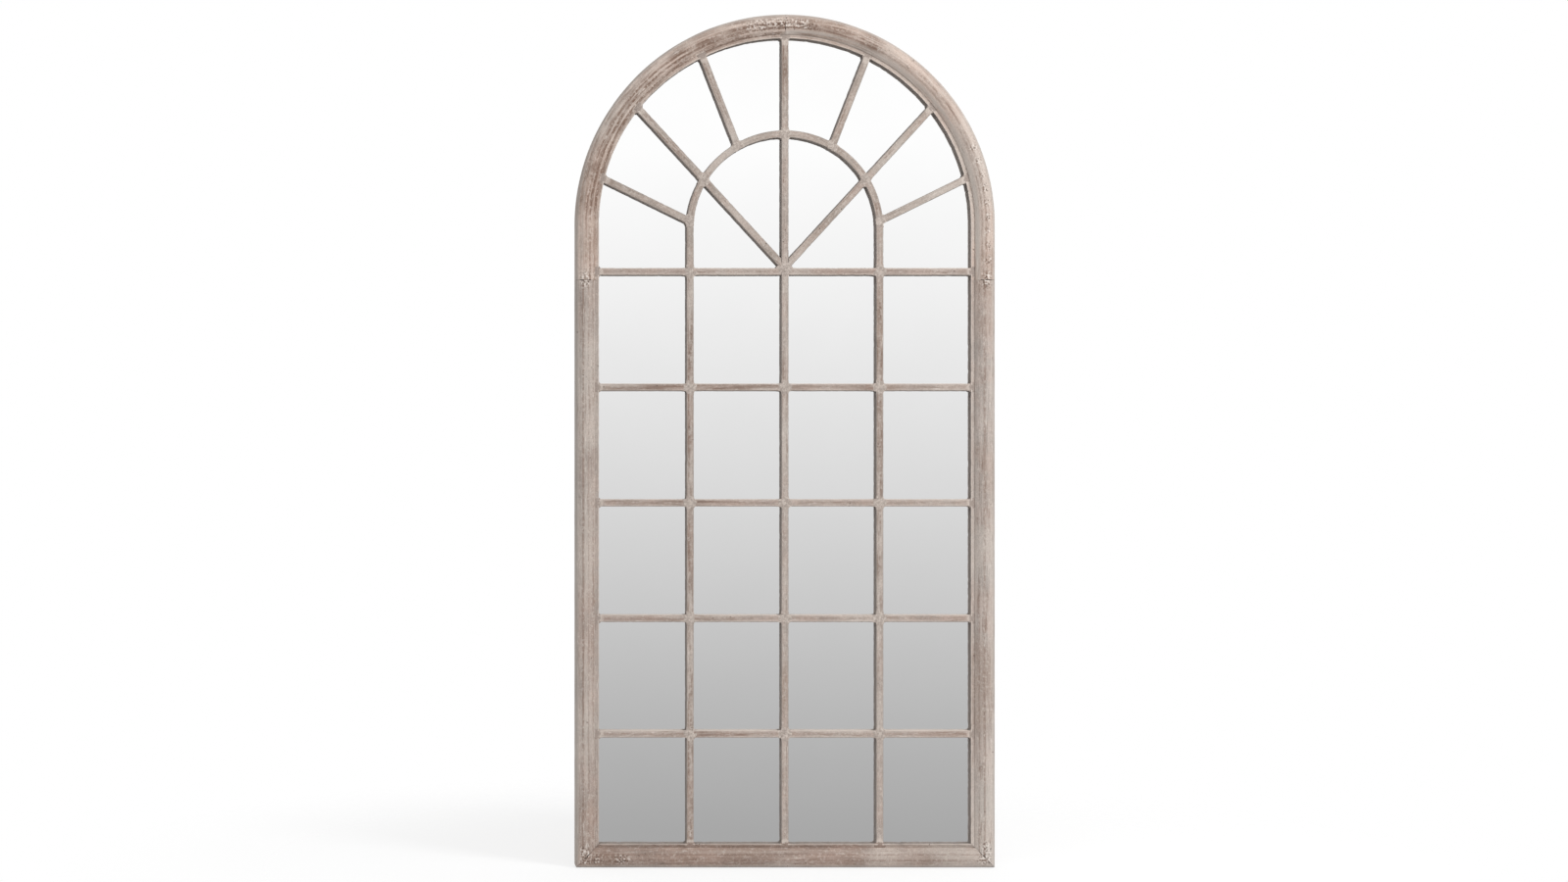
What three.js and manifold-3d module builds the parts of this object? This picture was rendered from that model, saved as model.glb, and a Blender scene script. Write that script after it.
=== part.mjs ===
// Arched window mirror: a moulded wooden frame with a round top, glazing bars laid over one
// mirror sheet, an inner arch with spokes in the top, a backboard, and two hangers on the back.
//
// Millimetres. X runs to the viewer's right, Z up, and the front faces -Y. Inside the model,
// "depth" is counted from the back of the wood towards the front, so y = -depth.
import * as THREE from 'three';
import * as BufferGeometryUtils from 'three/addons/utils/BufferGeometryUtils.js';
import Module from 'manifold-3d';

const wasm = await Module();
wasm.setup();

// ---------------------------------------------------------------- driving dimensions

// The frame seen from the front
const frameWidth = 900;
const frameHeight = 1830;
const faceWidth = 51;
const cornerRadius = 5;
const sideJointDrop = 120; // from the spring line of the arch down to the joint in each side

// The moulding across the face, from the outer edge inwards
const rimHeight = 22;
const rimWidth = 8;
const shoulderHeight = 33;
const crestPlace = 19;
const crestHeight = 36;
const rollEndHeight = 25.5;
const grooveHeight = 21.5;
const grooveWidth = 5;
const lipHeight = 24;
const lipWidth = 3.5;

// Mirror sheet and backboard
const glassThickness = 4;
const glassLap = 8; // how far the sheet reaches under the frame
const boardThickness = 5;
const boardLap = 20; // how far the board reaches over the frame
const sheetSlack = 1; // round the edges of the sheet and the board

// Glazing bars
const barWidth = 16;
const barDepth = 14;
const barEdge = 1.5; // small bevel along the front edges
const paneColumns = 4;
const crossBars = 5;
const bottomPaneHeight = 227;
const fanBaseDrop = 101.5; // from the spring line down to the middle of the top cross bar
const innerArchLeg = 92; // from the middle of the top cross bar up to the inner arch's centre
const hubRise = 8.5; // from the middle of the top cross bar up to where the spokes meet
const spokeStep = 21.3; // degrees from one spoke to the next
const spokesPerSide = 3;

// Joints in the wood
const fit = 0.3; // gap between pieces that touch
const tenonLength = 6;
const tenonWidth = 10;
const tenonThickness = 6;
const tenonRise = 2.5; // from the back of a bar to its tenon
const tongueLength = 30;
const tongueWidth = 16;
const tongueThickness = 6;
const tongueInset = 13; // from the outer edge of the frame
const tongueHeight = 11.5; // from the back of the wood

// Screws
const screwRadius = 1.75;
const screwHeadRadius = 3.5;
const screwHeadHeight = 2.2;
const boardScrewLength = 16;
const boardScrewEdge = 5; // from the edge of the backboard
const boardScrewsPerSide = 4;
const boardScrewsBelow = 3;
const boardScrewsAbove = 4;
const boardScrewMargin = 90; // clear of screws at the backboard's foot and under each side joint
const hangerScrewLength = 14;

// Hangers: a strap with a rolled end, and a ring that turns in it
const strapWidth = 12;
const strapThickness = 1.2;
const strapEnd = 8;
const strapScrewPitch = 20;
const ringWire = 3;
const ringHalfWidth = 11;
const ringDrop = 7; // straight part of the ring's sides
const ringClearance = 3; // from the ring's reach to the nearest screw head
const hangerInset = 15; // from the outer edge of the frame
const hangerDrop = 80; // from the joint in the side down to the ring's axis

// Bumper pads
const padRadius = 10;
const padThickness = 6.7;
const padHeight = 60; // from the floor to the middle of a pad

// How far parts of one piece reach into each other where they join end to end
const overlap = 0.05;

// Fineness of the round shapes
const archSteps = 96;
const innerArchSteps = 64;
const smallSteps = 8;
const mouldingSteps = 3;

// ---------------------------------------------------------------- derived places

const halfWidth = frameWidth / 2;
const springHeight = frameHeight - halfWidth;
const sightHalfWidth = halfWidth - faceWidth;
const sideJointHeight = springHeight - sideJointDrop;

const boardSeat = boardThickness + fit;
const glassBack = boardSeat;
const glassFront = glassBack + glassThickness;
const barBack = glassFront + fit;
const barFront = barBack + barDepth;
const lapLevel = barBack + barDepth / 2;
const glassReach = sightHalfWidth + glassLap;
const boardReach = sightHalfWidth + boardLap;

const columnPitch = (2 * sightHalfWidth + barWidth) / paneColumns;
const fanBase = springHeight - fanBaseDrop;
const lowestBar = faceWidth + bottomPaneHeight + barWidth / 2;
const crossBarPitch = (fanBase - lowestBar) / (crossBars - 1);
const innerArchRadius = columnPitch;
const innerArchCentre = fanBase + innerArchLeg;
const hubHeight = fanBase + hubRise;
const tenonBack = barBack + tenonRise;

const padRear = fit + padThickness;
const backPlane = (crestHeight - padRear) / 2;
const pivotDepth = -(fit + strapThickness + fit + ringWire / 2);
const pivotHeight = sideJointHeight - hangerDrop;
const hangerPlace = halfWidth - hangerInset;
const ringReach = ringDrop + ringHalfWidth + ringWire / 2;
const boardScrewReach = boardReach - boardScrewEdge;
const big = 2 * frameHeight;

// ---------------------------------------------------------------- solids

function solidOf(geometry) {
  const bare = geometry.clone();
  bare.deleteAttribute('normal');
  bare.deleteAttribute('uv');
  const merged = BufferGeometryUtils.mergeVertices(bare, 1e-4);
  const vertProperties = new Float32Array(merged.attributes.position.array);
  const triVerts = new Uint32Array(merged.index.array);
  return new wasm.Manifold(new wasm.Mesh({ numProp: 3, vertProperties, triVerts }));
}

function geometryOf(solid) {
  const mesh = solid.getMesh();
  const geometry = new THREE.BufferGeometry();
  geometry.setAttribute('position', new THREE.BufferAttribute(new Float32Array(mesh.vertProperties), 3));
  geometry.setIndex(new THREE.BufferAttribute(new Uint32Array(mesh.triVerts), 1));
  geometry.computeVertexNormals();
  return geometry;
}

function join(solids) {
  return solids.reduce((whole, solid) => whole.add(solid));
}

function cut(solid, cutters) {
  return cutters.reduce((rest, cutter) => rest.subtract(cutter), solid);
}

// A box between two corners, given as [x, depth, z].
function block([x0, d0, z0], [x1, d1, z1]) {
  const box = new THREE.BoxGeometry(Math.abs(x1 - x0), Math.abs(d1 - d0), Math.abs(z1 - z0));
  box.translate((x0 + x1) / 2, -(d0 + d1) / 2, (z0 + z1) / 2);
  return solidOf(box);
}

// An outline in X and Z, filled from one depth to a nearer one.
function plate(outline, fromDepth, toDepth, steps) {
  const geometry = new THREE.ExtrudeGeometry(outline, {
    depth: toDepth - fromDepth,
    bevelEnabled: false,
    curveSegments: steps,
  });
  geometry.rotateX(Math.PI / 2);
  geometry.translate(0, -fromDepth, 0);
  return solidOf(geometry);
}

// A round bar or disc whose axis runs from back to front.
function disc(radius, x, z, fromDepth, toDepth, steps) {
  const cylinder = new THREE.CylinderGeometry(radius, radius, toDepth - fromDepth, steps);
  cylinder.translate(x, -(fromDepth + toDepth) / 2, z);
  return solidOf(cylinder);
}

// Section points [across, depth] run along a straight member that stands up from z0 to z1.
function upright(section, z0, z1) {
  const shape = new THREE.Shape(section.map(([across, depth]) => new THREE.Vector2(across, -depth)));
  const geometry = new THREE.ExtrudeGeometry(shape, { depth: z1 - z0, bevelEnabled: false });
  geometry.translate(0, 0, z0);
  return solidOf(geometry);
}

// Section points [radius, depth] turned round a centre on the middle line.
function ring(section, centreHeight, steps) {
  const points = section.map(([radius, depth]) => new THREE.Vector2(radius, -depth));
  if (THREE.ShapeUtils.area(points) < 0) points.reverse();
  points.push(points[0].clone());
  const geometry = new THREE.LatheGeometry(points, steps);
  geometry.translate(0, 0, centreHeight);
  const solid = solidOf(geometry);
  return solid.intersect(block([-big, -big, centreHeight], [big, big, big]));
}

// The mirror image of a solid across the middle line of the frame.
function mirrored(solid) {
  return solid.mirror([1, 0, 0]);
}

// ---------------------------------------------------------------- the moulded frame

// The moulding as [distance from the outer edge, depth].
function mouldingSection() {
  const rollEnd = faceWidth - lipWidth - grooveWidth;
  const front = new THREE.Path();
  front.moveTo(0, rimHeight);
  front.quadraticCurveTo(0, shoulderHeight, rimWidth, shoulderHeight);
  front.quadraticCurveTo((rimWidth + crestPlace) / 2, crestHeight, crestPlace, crestHeight);
  front.quadraticCurveTo((crestPlace + rollEnd) / 2, crestHeight, rollEnd, rollEndHeight);
  const outline = front.getPoints(mouldingSteps).map((point) => [point.x, point.y]);
  const glassWall = faceWidth - glassLap - sheetSlack;
  const boardWall = faceWidth - boardLap - sheetSlack;
  return [
    [0, 0],
    ...outline,
    [rollEnd, grooveHeight],
    [faceWidth - lipWidth, grooveHeight],
    [faceWidth - lipWidth, lipHeight],
    [faceWidth, lipHeight],
    [faceWidth, barBack],
    [glassWall, barBack],
    [glassWall, boardSeat],
    [boardWall, boardSeat],
    [boardWall, 0],
  ];
}

// A tongue across a joint: its length crosses the joint, at an angle in the plane of the frame.
function tongue(x, z, angle, slack) {
  const box = new THREE.BoxGeometry(
    tongueLength + 2 * slack,
    tongueThickness + 2 * slack,
    tongueWidth + 2 * slack,
  );
  box.rotateY(-angle);
  box.translate(x, -(tongueHeight + tongueThickness / 2), z);
  return solidOf(box);
}

const tongueMiddle = tongueInset + tongueWidth / 2;
const tonguePlaces = {
  tongue_left_mitre: [-halfWidth + tongueMiddle, tongueMiddle, (3 * Math.PI) / 4],
  tongue_right_mitre: [halfWidth - tongueMiddle, tongueMiddle, Math.PI / 4],
  tongue_left_side: [-halfWidth + tongueMiddle, sideJointHeight, Math.PI / 2],
  tongue_right_side: [halfWidth - tongueMiddle, sideJointHeight, Math.PI / 2],
  tongue_crown: [0, frameHeight - tongueMiddle, 0],
};

function tonguePockets() {
  return Object.values(tonguePlaces).map(([x, z, angle]) => tongue(x, z, angle, fit));
}

// What lies below and outside the right-hand mitre, moved off the joint by half the fit.
function belowMitre() {
  const shift = (fit / 2) * Math.SQRT2;
  const wedge = new THREE.Shape([
    new THREE.Vector2(halfWidth + faceWidth, -faceWidth + shift),
    new THREE.Vector2(-big, big + halfWidth + shift),
    new THREE.Vector2(-big, -big),
    new THREE.Vector2(halfWidth + faceWidth, -big),
  ]);
  return plate(wedge, -crestHeight, 2 * crestHeight, 1);
}

// The waste outside the rounded bottom corner on the right.
function cornerWaste() {
  const x = halfWidth - cornerRadius;
  const square = block(
    [x, -crestHeight, -cornerRadius],
    [halfWidth + cornerRadius, 2 * crestHeight, cornerRadius],
  );
  const round = disc(cornerRadius, x, cornerRadius, -2 * crestHeight, 3 * crestHeight, 4 * smallSteps);
  return square.subtract(round);
}

function rightStile(section) {
  const straight = section.map(([inwards, depth]) => [halfWidth - inwards, depth]);
  const solid = upright(straight, 0, sideJointHeight - fit / 2);
  return cut(solid, [belowMitre(), cornerWaste()]);
}

function rightArch(section) {
  const turned = section.map(([inwards, depth]) => [halfWidth - inwards, depth]);
  const leg = upright(turned, sideJointHeight + fit / 2, springHeight);
  const arc = ring(turned, springHeight, archSteps).intersect(
    block([fit / 2, -big, 0], [big, big, big]),
  );
  return leg.add(arc);
}

function bottomRail(section) {
  const shape = new THREE.Shape(section.map(([up, depth]) => new THREE.Vector2(up, -depth)));
  const geometry = new THREE.ExtrudeGeometry(shape, { depth: frameWidth, bevelEnabled: false });
  geometry.translate(0, 0, -halfWidth);
  const turn = new THREE.Matrix4().makeBasis(
    new THREE.Vector3(0, 0, 1),
    new THREE.Vector3(0, 1, 0),
    new THREE.Vector3(-1, 0, 0),
  );
  geometry.applyMatrix4(turn);
  const shift = fit * Math.SQRT2;
  const outsideMitre = block([-big, -big, -big], [big, big, big])
    .subtract(belowMitre().translate([0, 0, -shift]));
  return cut(solidOf(geometry), [
    outsideMitre,
    mirrored(outsideMitre),
    cornerWaste(),
    mirrored(cornerWaste()),
  ]);
}

// ---------------------------------------------------------------- glazing bars

const barSection = [
  [-barWidth / 2, barBack],
  [-barWidth / 2, barFront - barEdge],
  [-barWidth / 2 + barEdge, barFront],
  [barWidth / 2 - barEdge, barFront],
  [barWidth / 2, barFront - barEdge],
  [barWidth / 2, barBack],
];

// A tenon, or with slack its mortise, standing up on the middle line from z0 to z1.
function tenon(z0, z1, slack) {
  return block(
    [-tenonWidth / 2 - slack, tenonBack - slack, z0],
    [tenonWidth / 2 + slack, tenonBack + tenonThickness + slack, z1],
  );
}

// The mortises of a bar that stands up on the middle line between two shoulders.
function barMortises(z0, z1) {
  return [
    tenon(z0 - tenonLength - fit, z0 + tenonLength, fit),
    tenon(z1 - tenonLength, z1 + tenonLength + fit, fit),
  ];
}

// Lay a bar that stands on the middle line across the frame at one height.
function laid(solid, height) {
  return solid.rotate([0, 90, 0]).translate([0, 0, height]);
}

const barPlaces = Array.from({ length: paneColumns - 1 }, (_, i) => (i + 1 - paneColumns / 2) * columnPitch);
const crossBarPlaces = Array.from({ length: crossBars }, (_, i) => lowestBar + i * crossBarPitch);
const innerArchCrown = innerArchCentre + innerArchRadius;

// Each upright bar ends under the top cross bar, but the middle one crosses it to the inner arch.
function barTop(x) {
  return Math.abs(x) < barWidth ? innerArchCrown - barWidth / 2 : fanBase - barWidth / 2;
}

function crosses(x, height) {
  return height < barTop(x);
}

// The middle bar's top shoulder is scribed to the inner arch.
function uprightBar(x) {
  const top = barTop(x);
  const body = upright(barSection, faceWidth + fit, top - fit)
    .intersect(archedSpace(innerArchRadius - barWidth / 2 - fit, innerArchCentre, 0, innerArchSteps))
    .add(tenon(faceWidth - tenonLength, top + tenonLength, 0));
  const notches = crossBarPlaces
    .filter((height) => crosses(x, height))
    .map((height) => block(
      [-barWidth, barBack - barDepth, height - barWidth / 2 - fit],
      [barWidth, lapLevel + fit / 2, height + barWidth / 2 + fit],
    ));
  return cut(body, notches);
}

function crossBar(height) {
  const body = upright(barSection, -sightHalfWidth + fit, sightHalfWidth - fit)
    .add(tenon(-sightHalfWidth - tenonLength, sightHalfWidth + tenonLength, 0));
  const notches = barPlaces
    .filter((x) => crosses(x, height))
    .map((x) => block(
      [x - barWidth / 2 - fit, lapLevel - fit / 2, height - barWidth],
      [x + barWidth / 2 + fit, barFront + barDepth, height + barWidth],
    ));
  return cut(laid(body, height), notches);
}

// ---------------------------------------------------------------- inner arch and spokes

// The space under an arch on straight legs, right through the frame.
function archedSpace(radius, centreHeight, footHeight, steps) {
  const round = disc(radius, 0, centreHeight, -2 * crestHeight, 3 * crestHeight, steps);
  return round.add(block([-radius, -2 * crestHeight, footHeight], [radius, 3 * crestHeight, centreHeight]));
}

function insideFrame(offset) {
  return archedSpace(sightHalfWidth + offset, springHeight, 0, archSteps);
}

function underInnerArch(offset) {
  return archedSpace(innerArchRadius + offset, innerArchCentre, fanBase, innerArchSteps);
}

// Turn something that stands on the middle line at z = 0 about the hub.
function fromHub(solid, angle) {
  return solid.rotate([0, 90 - angle, 0]).translate([0, 0, hubHeight]);
}

function spokeBody(angle) {
  return fromHub(upright(barSection, 0, frameHeight), angle);
}

function spokeTenon(angle, slack) {
  return fromHub(tenon(0, frameHeight, slack), angle);
}

// The tenons, or with slack the mortises, of a spoke from the inner arch to the frame.
function outerSpokeTenons(angle, slack) {
  return spokeTenon(angle, slack)
    .intersect(insideFrame(tenonLength + slack))
    .subtract(underInnerArch(barWidth / 2 - tenonLength - slack));
}

function outerSpoke(angle) {
  const body = spokeBody(angle)
    .intersect(insideFrame(-fit))
    .subtract(underInnerArch(barWidth / 2 + fit));
  return body.add(outerSpokeTenons(angle, 0));
}

// The tenon, or with slack the mortise, of a spoke from the hub to the inner arch.
function innerSpokeTenon(angle, slack) {
  return spokeTenon(angle, slack)
    .intersect(underInnerArch(-barWidth / 2 + tenonLength + slack))
    .subtract(underInnerArch(-barWidth));
}

function innerSpoke(angle) {
  const body = spokeBody(angle).intersect(underInnerArch(-barWidth / 2 - fit));
  return cut(body.add(innerSpokeTenon(angle, 0)), [
    block([-barWidth / 2 - fit, -big, 0], [barWidth / 2 + fit, big, big]),
    block([-big, -big, 0], [big, big, fanBase + barWidth / 2 + fit]),
  ]);
}

const legFoot = fanBase + barWidth / 2;

// The tenon, or with slack the mortise, at the foot of the right leg of the inner arch.
function legTenon(slack) {
  return tenon(legFoot - tenonLength - slack, legFoot + tenonLength, slack)
    .translate([innerArchRadius, 0, 0]);
}

function legMortise(side) {
  return side > 0 ? legTenon(fit) : mirrored(legTenon(fit));
}

function innerArch(mortises) {
  const turned = barSection.map(([across, depth]) => [innerArchRadius + across, depth]);
  const leg = upright(turned, legFoot + fit, innerArchCentre).add(legTenon(0));
  const arc = ring(turned, innerArchCentre, innerArchSteps);
  return cut(join([arc, leg, mirrored(leg)]), mortises);
}

const spokeAngles = Array.from(
  { length: 2 * spokesPerSide + 1 },
  (_, i) => 90 + (i - spokesPerSide) * spokeStep,
);
const innerSpokeAngles = [90 - 2 * spokeStep, 90 + 2 * spokeStep];

// ---------------------------------------------------------------- sheet, board, screws

// The outline of a sheet that follows the frame, as far as a reach from the middle line.
function archedOutline(reach) {
  const outline = new THREE.Shape();
  const foot = halfWidth - reach;
  outline.moveTo(-reach, foot);
  outline.lineTo(reach, foot);
  outline.lineTo(reach, springHeight);
  outline.absarc(0, springHeight, reach, 0, Math.PI, false);
  return outline;
}

function archedSheet(reach, fromDepth, toDepth) {
  return plate(archedOutline(reach), fromDepth, toDepth, archSteps / 2);
}

// A pan-head screw driven from the back: its seat is at depth 0 and it points to the front.
function screw(length) {
  const profile = [
    new THREE.Vector2(0, screwHeadHeight),
    new THREE.Vector2(screwHeadRadius * 0.6, screwHeadHeight),
    new THREE.Vector2(screwHeadRadius, screwHeadHeight / 2),
    new THREE.Vector2(screwHeadRadius, 0),
    new THREE.Vector2(screwRadius, 0),
    new THREE.Vector2(screwRadius, -length + screwRadius),
    new THREE.Vector2(0, -length),
  ];
  return new THREE.LatheGeometry(profile.reverse(), smallSteps);
}

function spread(count, from, to) {
  return Array.from({ length: count }, (_, i) => from + ((to - from) * (i + 0.5)) / count);
}

// Where the backboard's screws go, as [name, x, z].
function boardScrewPlaces() {
  const places = [];
  const boardFoot = halfWidth - boardReach;
  const sideHeights = spread(
    boardScrewsPerSide,
    boardFoot + boardScrewMargin,
    sideJointHeight - boardScrewMargin,
  );
  sideHeights.forEach((height, i) => {
    places.push([`board_screw_left_${i + 1}`, -boardScrewReach, height]);
    places.push([`board_screw_right_${i + 1}`, boardScrewReach, height]);
  });
  spread(boardScrewsBelow, -boardScrewReach, boardScrewReach).forEach((x, i) => {
    places.push([`board_screw_bottom_${i + 1}`, x, halfWidth - boardScrewReach]);
  });
  spread(boardScrewsAbove, Math.PI, 0).forEach((angle, i) => {
    const x = boardScrewReach * Math.cos(angle);
    const z = springHeight + boardScrewReach * Math.sin(angle);
    places.push([`board_screw_top_${i + 1}`, x, z]);
  });
  return places;
}

function screwHole(x, z, length) {
  return disc(screwRadius + fit, x, z, -crestHeight, length + fit, smallSteps);
}

// ---------------------------------------------------------------- hangers and pads

const eyeRadius = ringWire / 2 + fit;
const rollRadius = eyeRadius + strapThickness;
const strapScrewDrops = [0, 1].map((i) => ringReach + ringClearance + screwHeadRadius + i * strapScrewPitch);
const strapLength = strapScrewDrops[1] + strapEnd;

// A round bar with its middle at the origin, along X or Z.
function rod(radius, length, alongX) {
  const cylinder = new THREE.CylinderGeometry(radius, radius, length, smallSteps);
  if (alongX) cylinder.rotateZ(Math.PI / 2);
  else cylinder.rotateX(Math.PI / 2);
  return solidOf(cylinder);
}

// The strap, with the ring's axis at the origin and the wood on its front side.
function strap() {
  const body = block([-strapWidth / 2, rollRadius, -strapLength], [strapWidth / 2, eyeRadius, 0]);
  const holes = strapScrewDrops.map((drop) => (
    disc(screwRadius + fit, 0, -drop, -2 * rollRadius, 2 * rollRadius, smallSteps)
  ));
  return cut(body.add(rod(rollRadius, strapWidth, true)), [rod(eyeRadius, 2 * strapWidth, true), ...holes]);
}

// A D-shaped ring of round wire that hangs from its straight bar.
function hangerRing() {
  const radius = ringWire / 2;
  const wire = Array.from({ length: smallSteps }, (_, i) => {
    const angle = (2 * Math.PI * i) / smallSteps;
    return [ringHalfWidth + radius * Math.cos(angle), radius * Math.sin(angle)];
  });
  const bow = ring(wire, 0, 2 * smallSteps).rotate([0, 180, 0]).translate([0, 0, -ringDrop]);
  const sideLength = ringDrop + overlap;
  const side = rod(radius, sideLength, false).translate([ringHalfWidth, 0, -sideLength / 2]);
  const corner = solidOf(new THREE.SphereGeometry(radius, smallSteps, smallSteps / 2))
    .translate([ringHalfWidth, 0, 0]);
  return join([
    bow,
    rod(radius, 2 * ringHalfWidth, true),
    side,
    corner,
    mirrored(side),
    mirrored(corner),
  ]);
}

// ---------------------------------------------------------------- finishes

const finishes = {
  wood: { color: 0xad9f95, roughness: 0.8, metalness: 0 },
  mirror: { color: 0xe8ecec, roughness: 0.03, metalness: 1 },
  board: { color: 0x8a6f55, roughness: 0.85, metalness: 0 },
  zinc: { color: 0xb9bcbe, roughness: 0.4, metalness: 1 },
  felt: { color: 0x6d655e, roughness: 0.95, metalness: 0 },
};

function piece(name, shape, finish) {
  const geometry = shape.isBufferGeometry ? shape : geometryOf(shape);
  const mesh = new THREE.Mesh(geometry, new THREE.MeshStandardMaterial(finishes[finish]));
  mesh.name = name;
  return mesh;
}

// ---------------------------------------------------------------- assembly

const uprightMortises = barPlaces.flatMap((x) => (
  barMortises(faceWidth, barTop(x)).map((mortise) => mortise.translate([x, 0, 0]))
));
const crossBarMortises = crossBarPlaces.flatMap((height) => (
  barMortises(-sightHalfWidth, sightHalfWidth).map((mortise) => laid(mortise, height))
));
const outerSpokeMortises = spokeAngles.map((angle) => outerSpokeTenons(angle, fit));
const innerSpokeMortises = innerSpokeAngles.map((angle) => innerSpokeTenon(angle, fit));

const screwPlaces = boardScrewPlaces();
const hangerSides = [['left', -hangerPlace], ['right', hangerPlace]];
const boardHoles = join(screwPlaces.map(([, x, z]) => screwHole(x, z, boardScrewLength)));
const hangerHoles = hangerSides.flatMap(([, x]) => (
  strapScrewDrops.map((drop) => screwHole(x, pivotHeight - drop, hangerScrewLength))
));

function framePieces() {
  const section = mouldingSection();
  const cutters = [
    join(tonguePockets()),
    join([...uprightMortises, ...crossBarMortises, ...outerSpokeMortises]),
    join([boardHoles, ...hangerHoles]),
  ];
  const stile = rightStile(section);
  const arch = rightArch(section);
  const solids = {
    bottom_rail: bottomRail(section),
    left_stile: mirrored(stile),
    right_stile: stile,
    left_arch: mirrored(arch),
    right_arch: arch,
  };
  const pieces = Object.entries(solids).map(([name, solid]) => piece(name, cut(solid, cutters), 'wood'));
  const tongues = Object.entries(tonguePlaces).map(([name, [x, z, angle]]) => (
    piece(name, tongue(x, z, angle, 0), 'wood')
  ));
  return [...pieces, ...tongues];
}

function barPieces() {
  const uprights = barPlaces.map((x, i) => {
    const mesh = piece(`upright_bar_${i + 1}`, uprightBar(x), 'wood');
    mesh.position.x = x;
    return mesh;
  });
  const topBarMortises = [...uprightMortises, legMortise(1), legMortise(-1)];
  const crossings = crossBarPlaces.map((height, i) => {
    const isTop = i === crossBars - 1;
    const solid = isTop ? cut(crossBar(height), topBarMortises) : crossBar(height);
    return piece(`cross_bar_${i + 1}`, solid, 'wood');
  });
  const arch = innerArch([...uprightMortises, ...outerSpokeMortises, ...innerSpokeMortises]);
  const spokes = [
    ...spokeAngles.map((angle, i) => piece(`outer_spoke_${i + 1}`, outerSpoke(angle), 'wood')),
    ...innerSpokeAngles.map((angle, i) => piece(`inner_spoke_${i + 1}`, innerSpoke(angle), 'wood')),
  ];
  return [...uprights, ...crossings, piece('inner_arch', arch, 'wood'), ...spokes];
}

function backPieces() {
  const board = archedSheet(boardReach, 0, boardThickness).subtract(boardHoles);
  const screws = screwPlaces.map(([name, x, z]) => {
    const mesh = piece(name, screw(boardScrewLength), 'zinc');
    mesh.position.set(x, fit, z);
    return mesh;
  });
  return [
    piece('mirror_sheet', archedSheet(glassReach, glassBack, glassFront), 'mirror'),
    piece('backboard', board, 'board'),
    ...screws,
  ];
}

// A hanger's pieces in a group whose origin is on the ring's axis.
function hanger(side, x) {
  const group = new THREE.Group();
  group.position.set(x, -pivotDepth, pivotHeight);
  group.add(piece(`hanger_strap_${side}`, strap(), 'zinc'));
  group.add(piece(`hanger_ring_${side}`, hangerRing(), 'zinc'));
  strapScrewDrops.forEach((drop, i) => {
    const mesh = piece(`hanger_screw_${side}_${i + 1}`, screw(hangerScrewLength), 'zinc');
    mesh.position.set(0, fit - eyeRadius, -drop);
    group.add(mesh);
  });
  return group;
}

function bumperPad(side, x) {
  const mesh = piece(
    `bumper_pad_${side}`,
    new THREE.CylinderGeometry(padRadius, padRadius, padThickness, 2 * smallSteps),
    'felt',
  );
  mesh.position.set(x, fit + padThickness / 2, padHeight);
  return mesh;
}

// The back of the wood stands behind the middle, so that the whole depth is centred on y = 0.
const mirrorGroup = new THREE.Group();
mirrorGroup.position.y = backPlane;
mirrorGroup.add(
  ...framePieces(),
  ...barPieces(),
  ...backPieces(),
  ...hangerSides.map(([side, x]) => hanger(side, x)),
  ...hangerSides.map(([side, x]) => bumperPad(side, x)),
);

export default mirrorGroup;
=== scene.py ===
"""The looks of an arched window mirror: washed wooden moulding and glazing bars over one mirror sheet.

Everything is in metres. X runs to the viewer's right, Z up, and the front faces -Y. A member's
"across" is measured over its width and its "depth" from the back of the wood to the front.
"""
import math

import bpy
import numpy as np
from bpy.props import FloatProperty, FloatVectorProperty, PointerProperty
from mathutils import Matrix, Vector


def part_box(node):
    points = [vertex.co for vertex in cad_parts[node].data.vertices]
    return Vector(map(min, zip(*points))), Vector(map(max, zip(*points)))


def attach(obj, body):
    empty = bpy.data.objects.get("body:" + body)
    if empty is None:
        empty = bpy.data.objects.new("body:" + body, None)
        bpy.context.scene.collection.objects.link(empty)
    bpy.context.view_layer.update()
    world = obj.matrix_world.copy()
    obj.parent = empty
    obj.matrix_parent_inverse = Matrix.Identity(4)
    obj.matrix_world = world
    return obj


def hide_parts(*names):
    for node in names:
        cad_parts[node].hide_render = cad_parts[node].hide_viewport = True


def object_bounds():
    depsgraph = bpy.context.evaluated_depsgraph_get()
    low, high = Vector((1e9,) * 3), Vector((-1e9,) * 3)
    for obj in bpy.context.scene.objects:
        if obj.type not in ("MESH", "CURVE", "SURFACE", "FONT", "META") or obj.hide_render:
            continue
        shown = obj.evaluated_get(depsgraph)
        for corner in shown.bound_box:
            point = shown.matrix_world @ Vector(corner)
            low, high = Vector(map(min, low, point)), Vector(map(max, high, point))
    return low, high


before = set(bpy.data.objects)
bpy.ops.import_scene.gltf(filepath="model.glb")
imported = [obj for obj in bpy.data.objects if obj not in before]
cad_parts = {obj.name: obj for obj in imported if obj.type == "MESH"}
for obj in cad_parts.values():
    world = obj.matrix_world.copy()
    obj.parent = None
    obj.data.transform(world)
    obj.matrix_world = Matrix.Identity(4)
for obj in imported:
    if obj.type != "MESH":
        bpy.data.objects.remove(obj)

bl_info = {
    "name": "Arched Window Mirror",
    "version": (1, 0, 0),
    "blender": (4, 5, 0),
    "location": "3D View > Sidebar > Window Mirror",
    "description": "Builds the washed wood, mirror, hangers and studio of an arched window mirror",
    "category": "Object",
}

MM = 0.001
MOST_CUTS = 100

# ---------------------------------------------------------------- what the frame gives

for stray in [bpy.data.objects.get(name) for name in ("Cube", "Light", "Camera")]:
    if stray:
        bpy.data.objects.remove(stray)

CAD_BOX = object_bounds()
STILE_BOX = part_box("right_stile")
ARCH_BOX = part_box("right_arch")
BAR_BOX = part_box("upright_bar_1")
MIDDLE_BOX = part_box("upright_bar_2")
TOP_BAR_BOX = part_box("cross_bar_5")
INNER_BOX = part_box("inner_arch")

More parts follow.
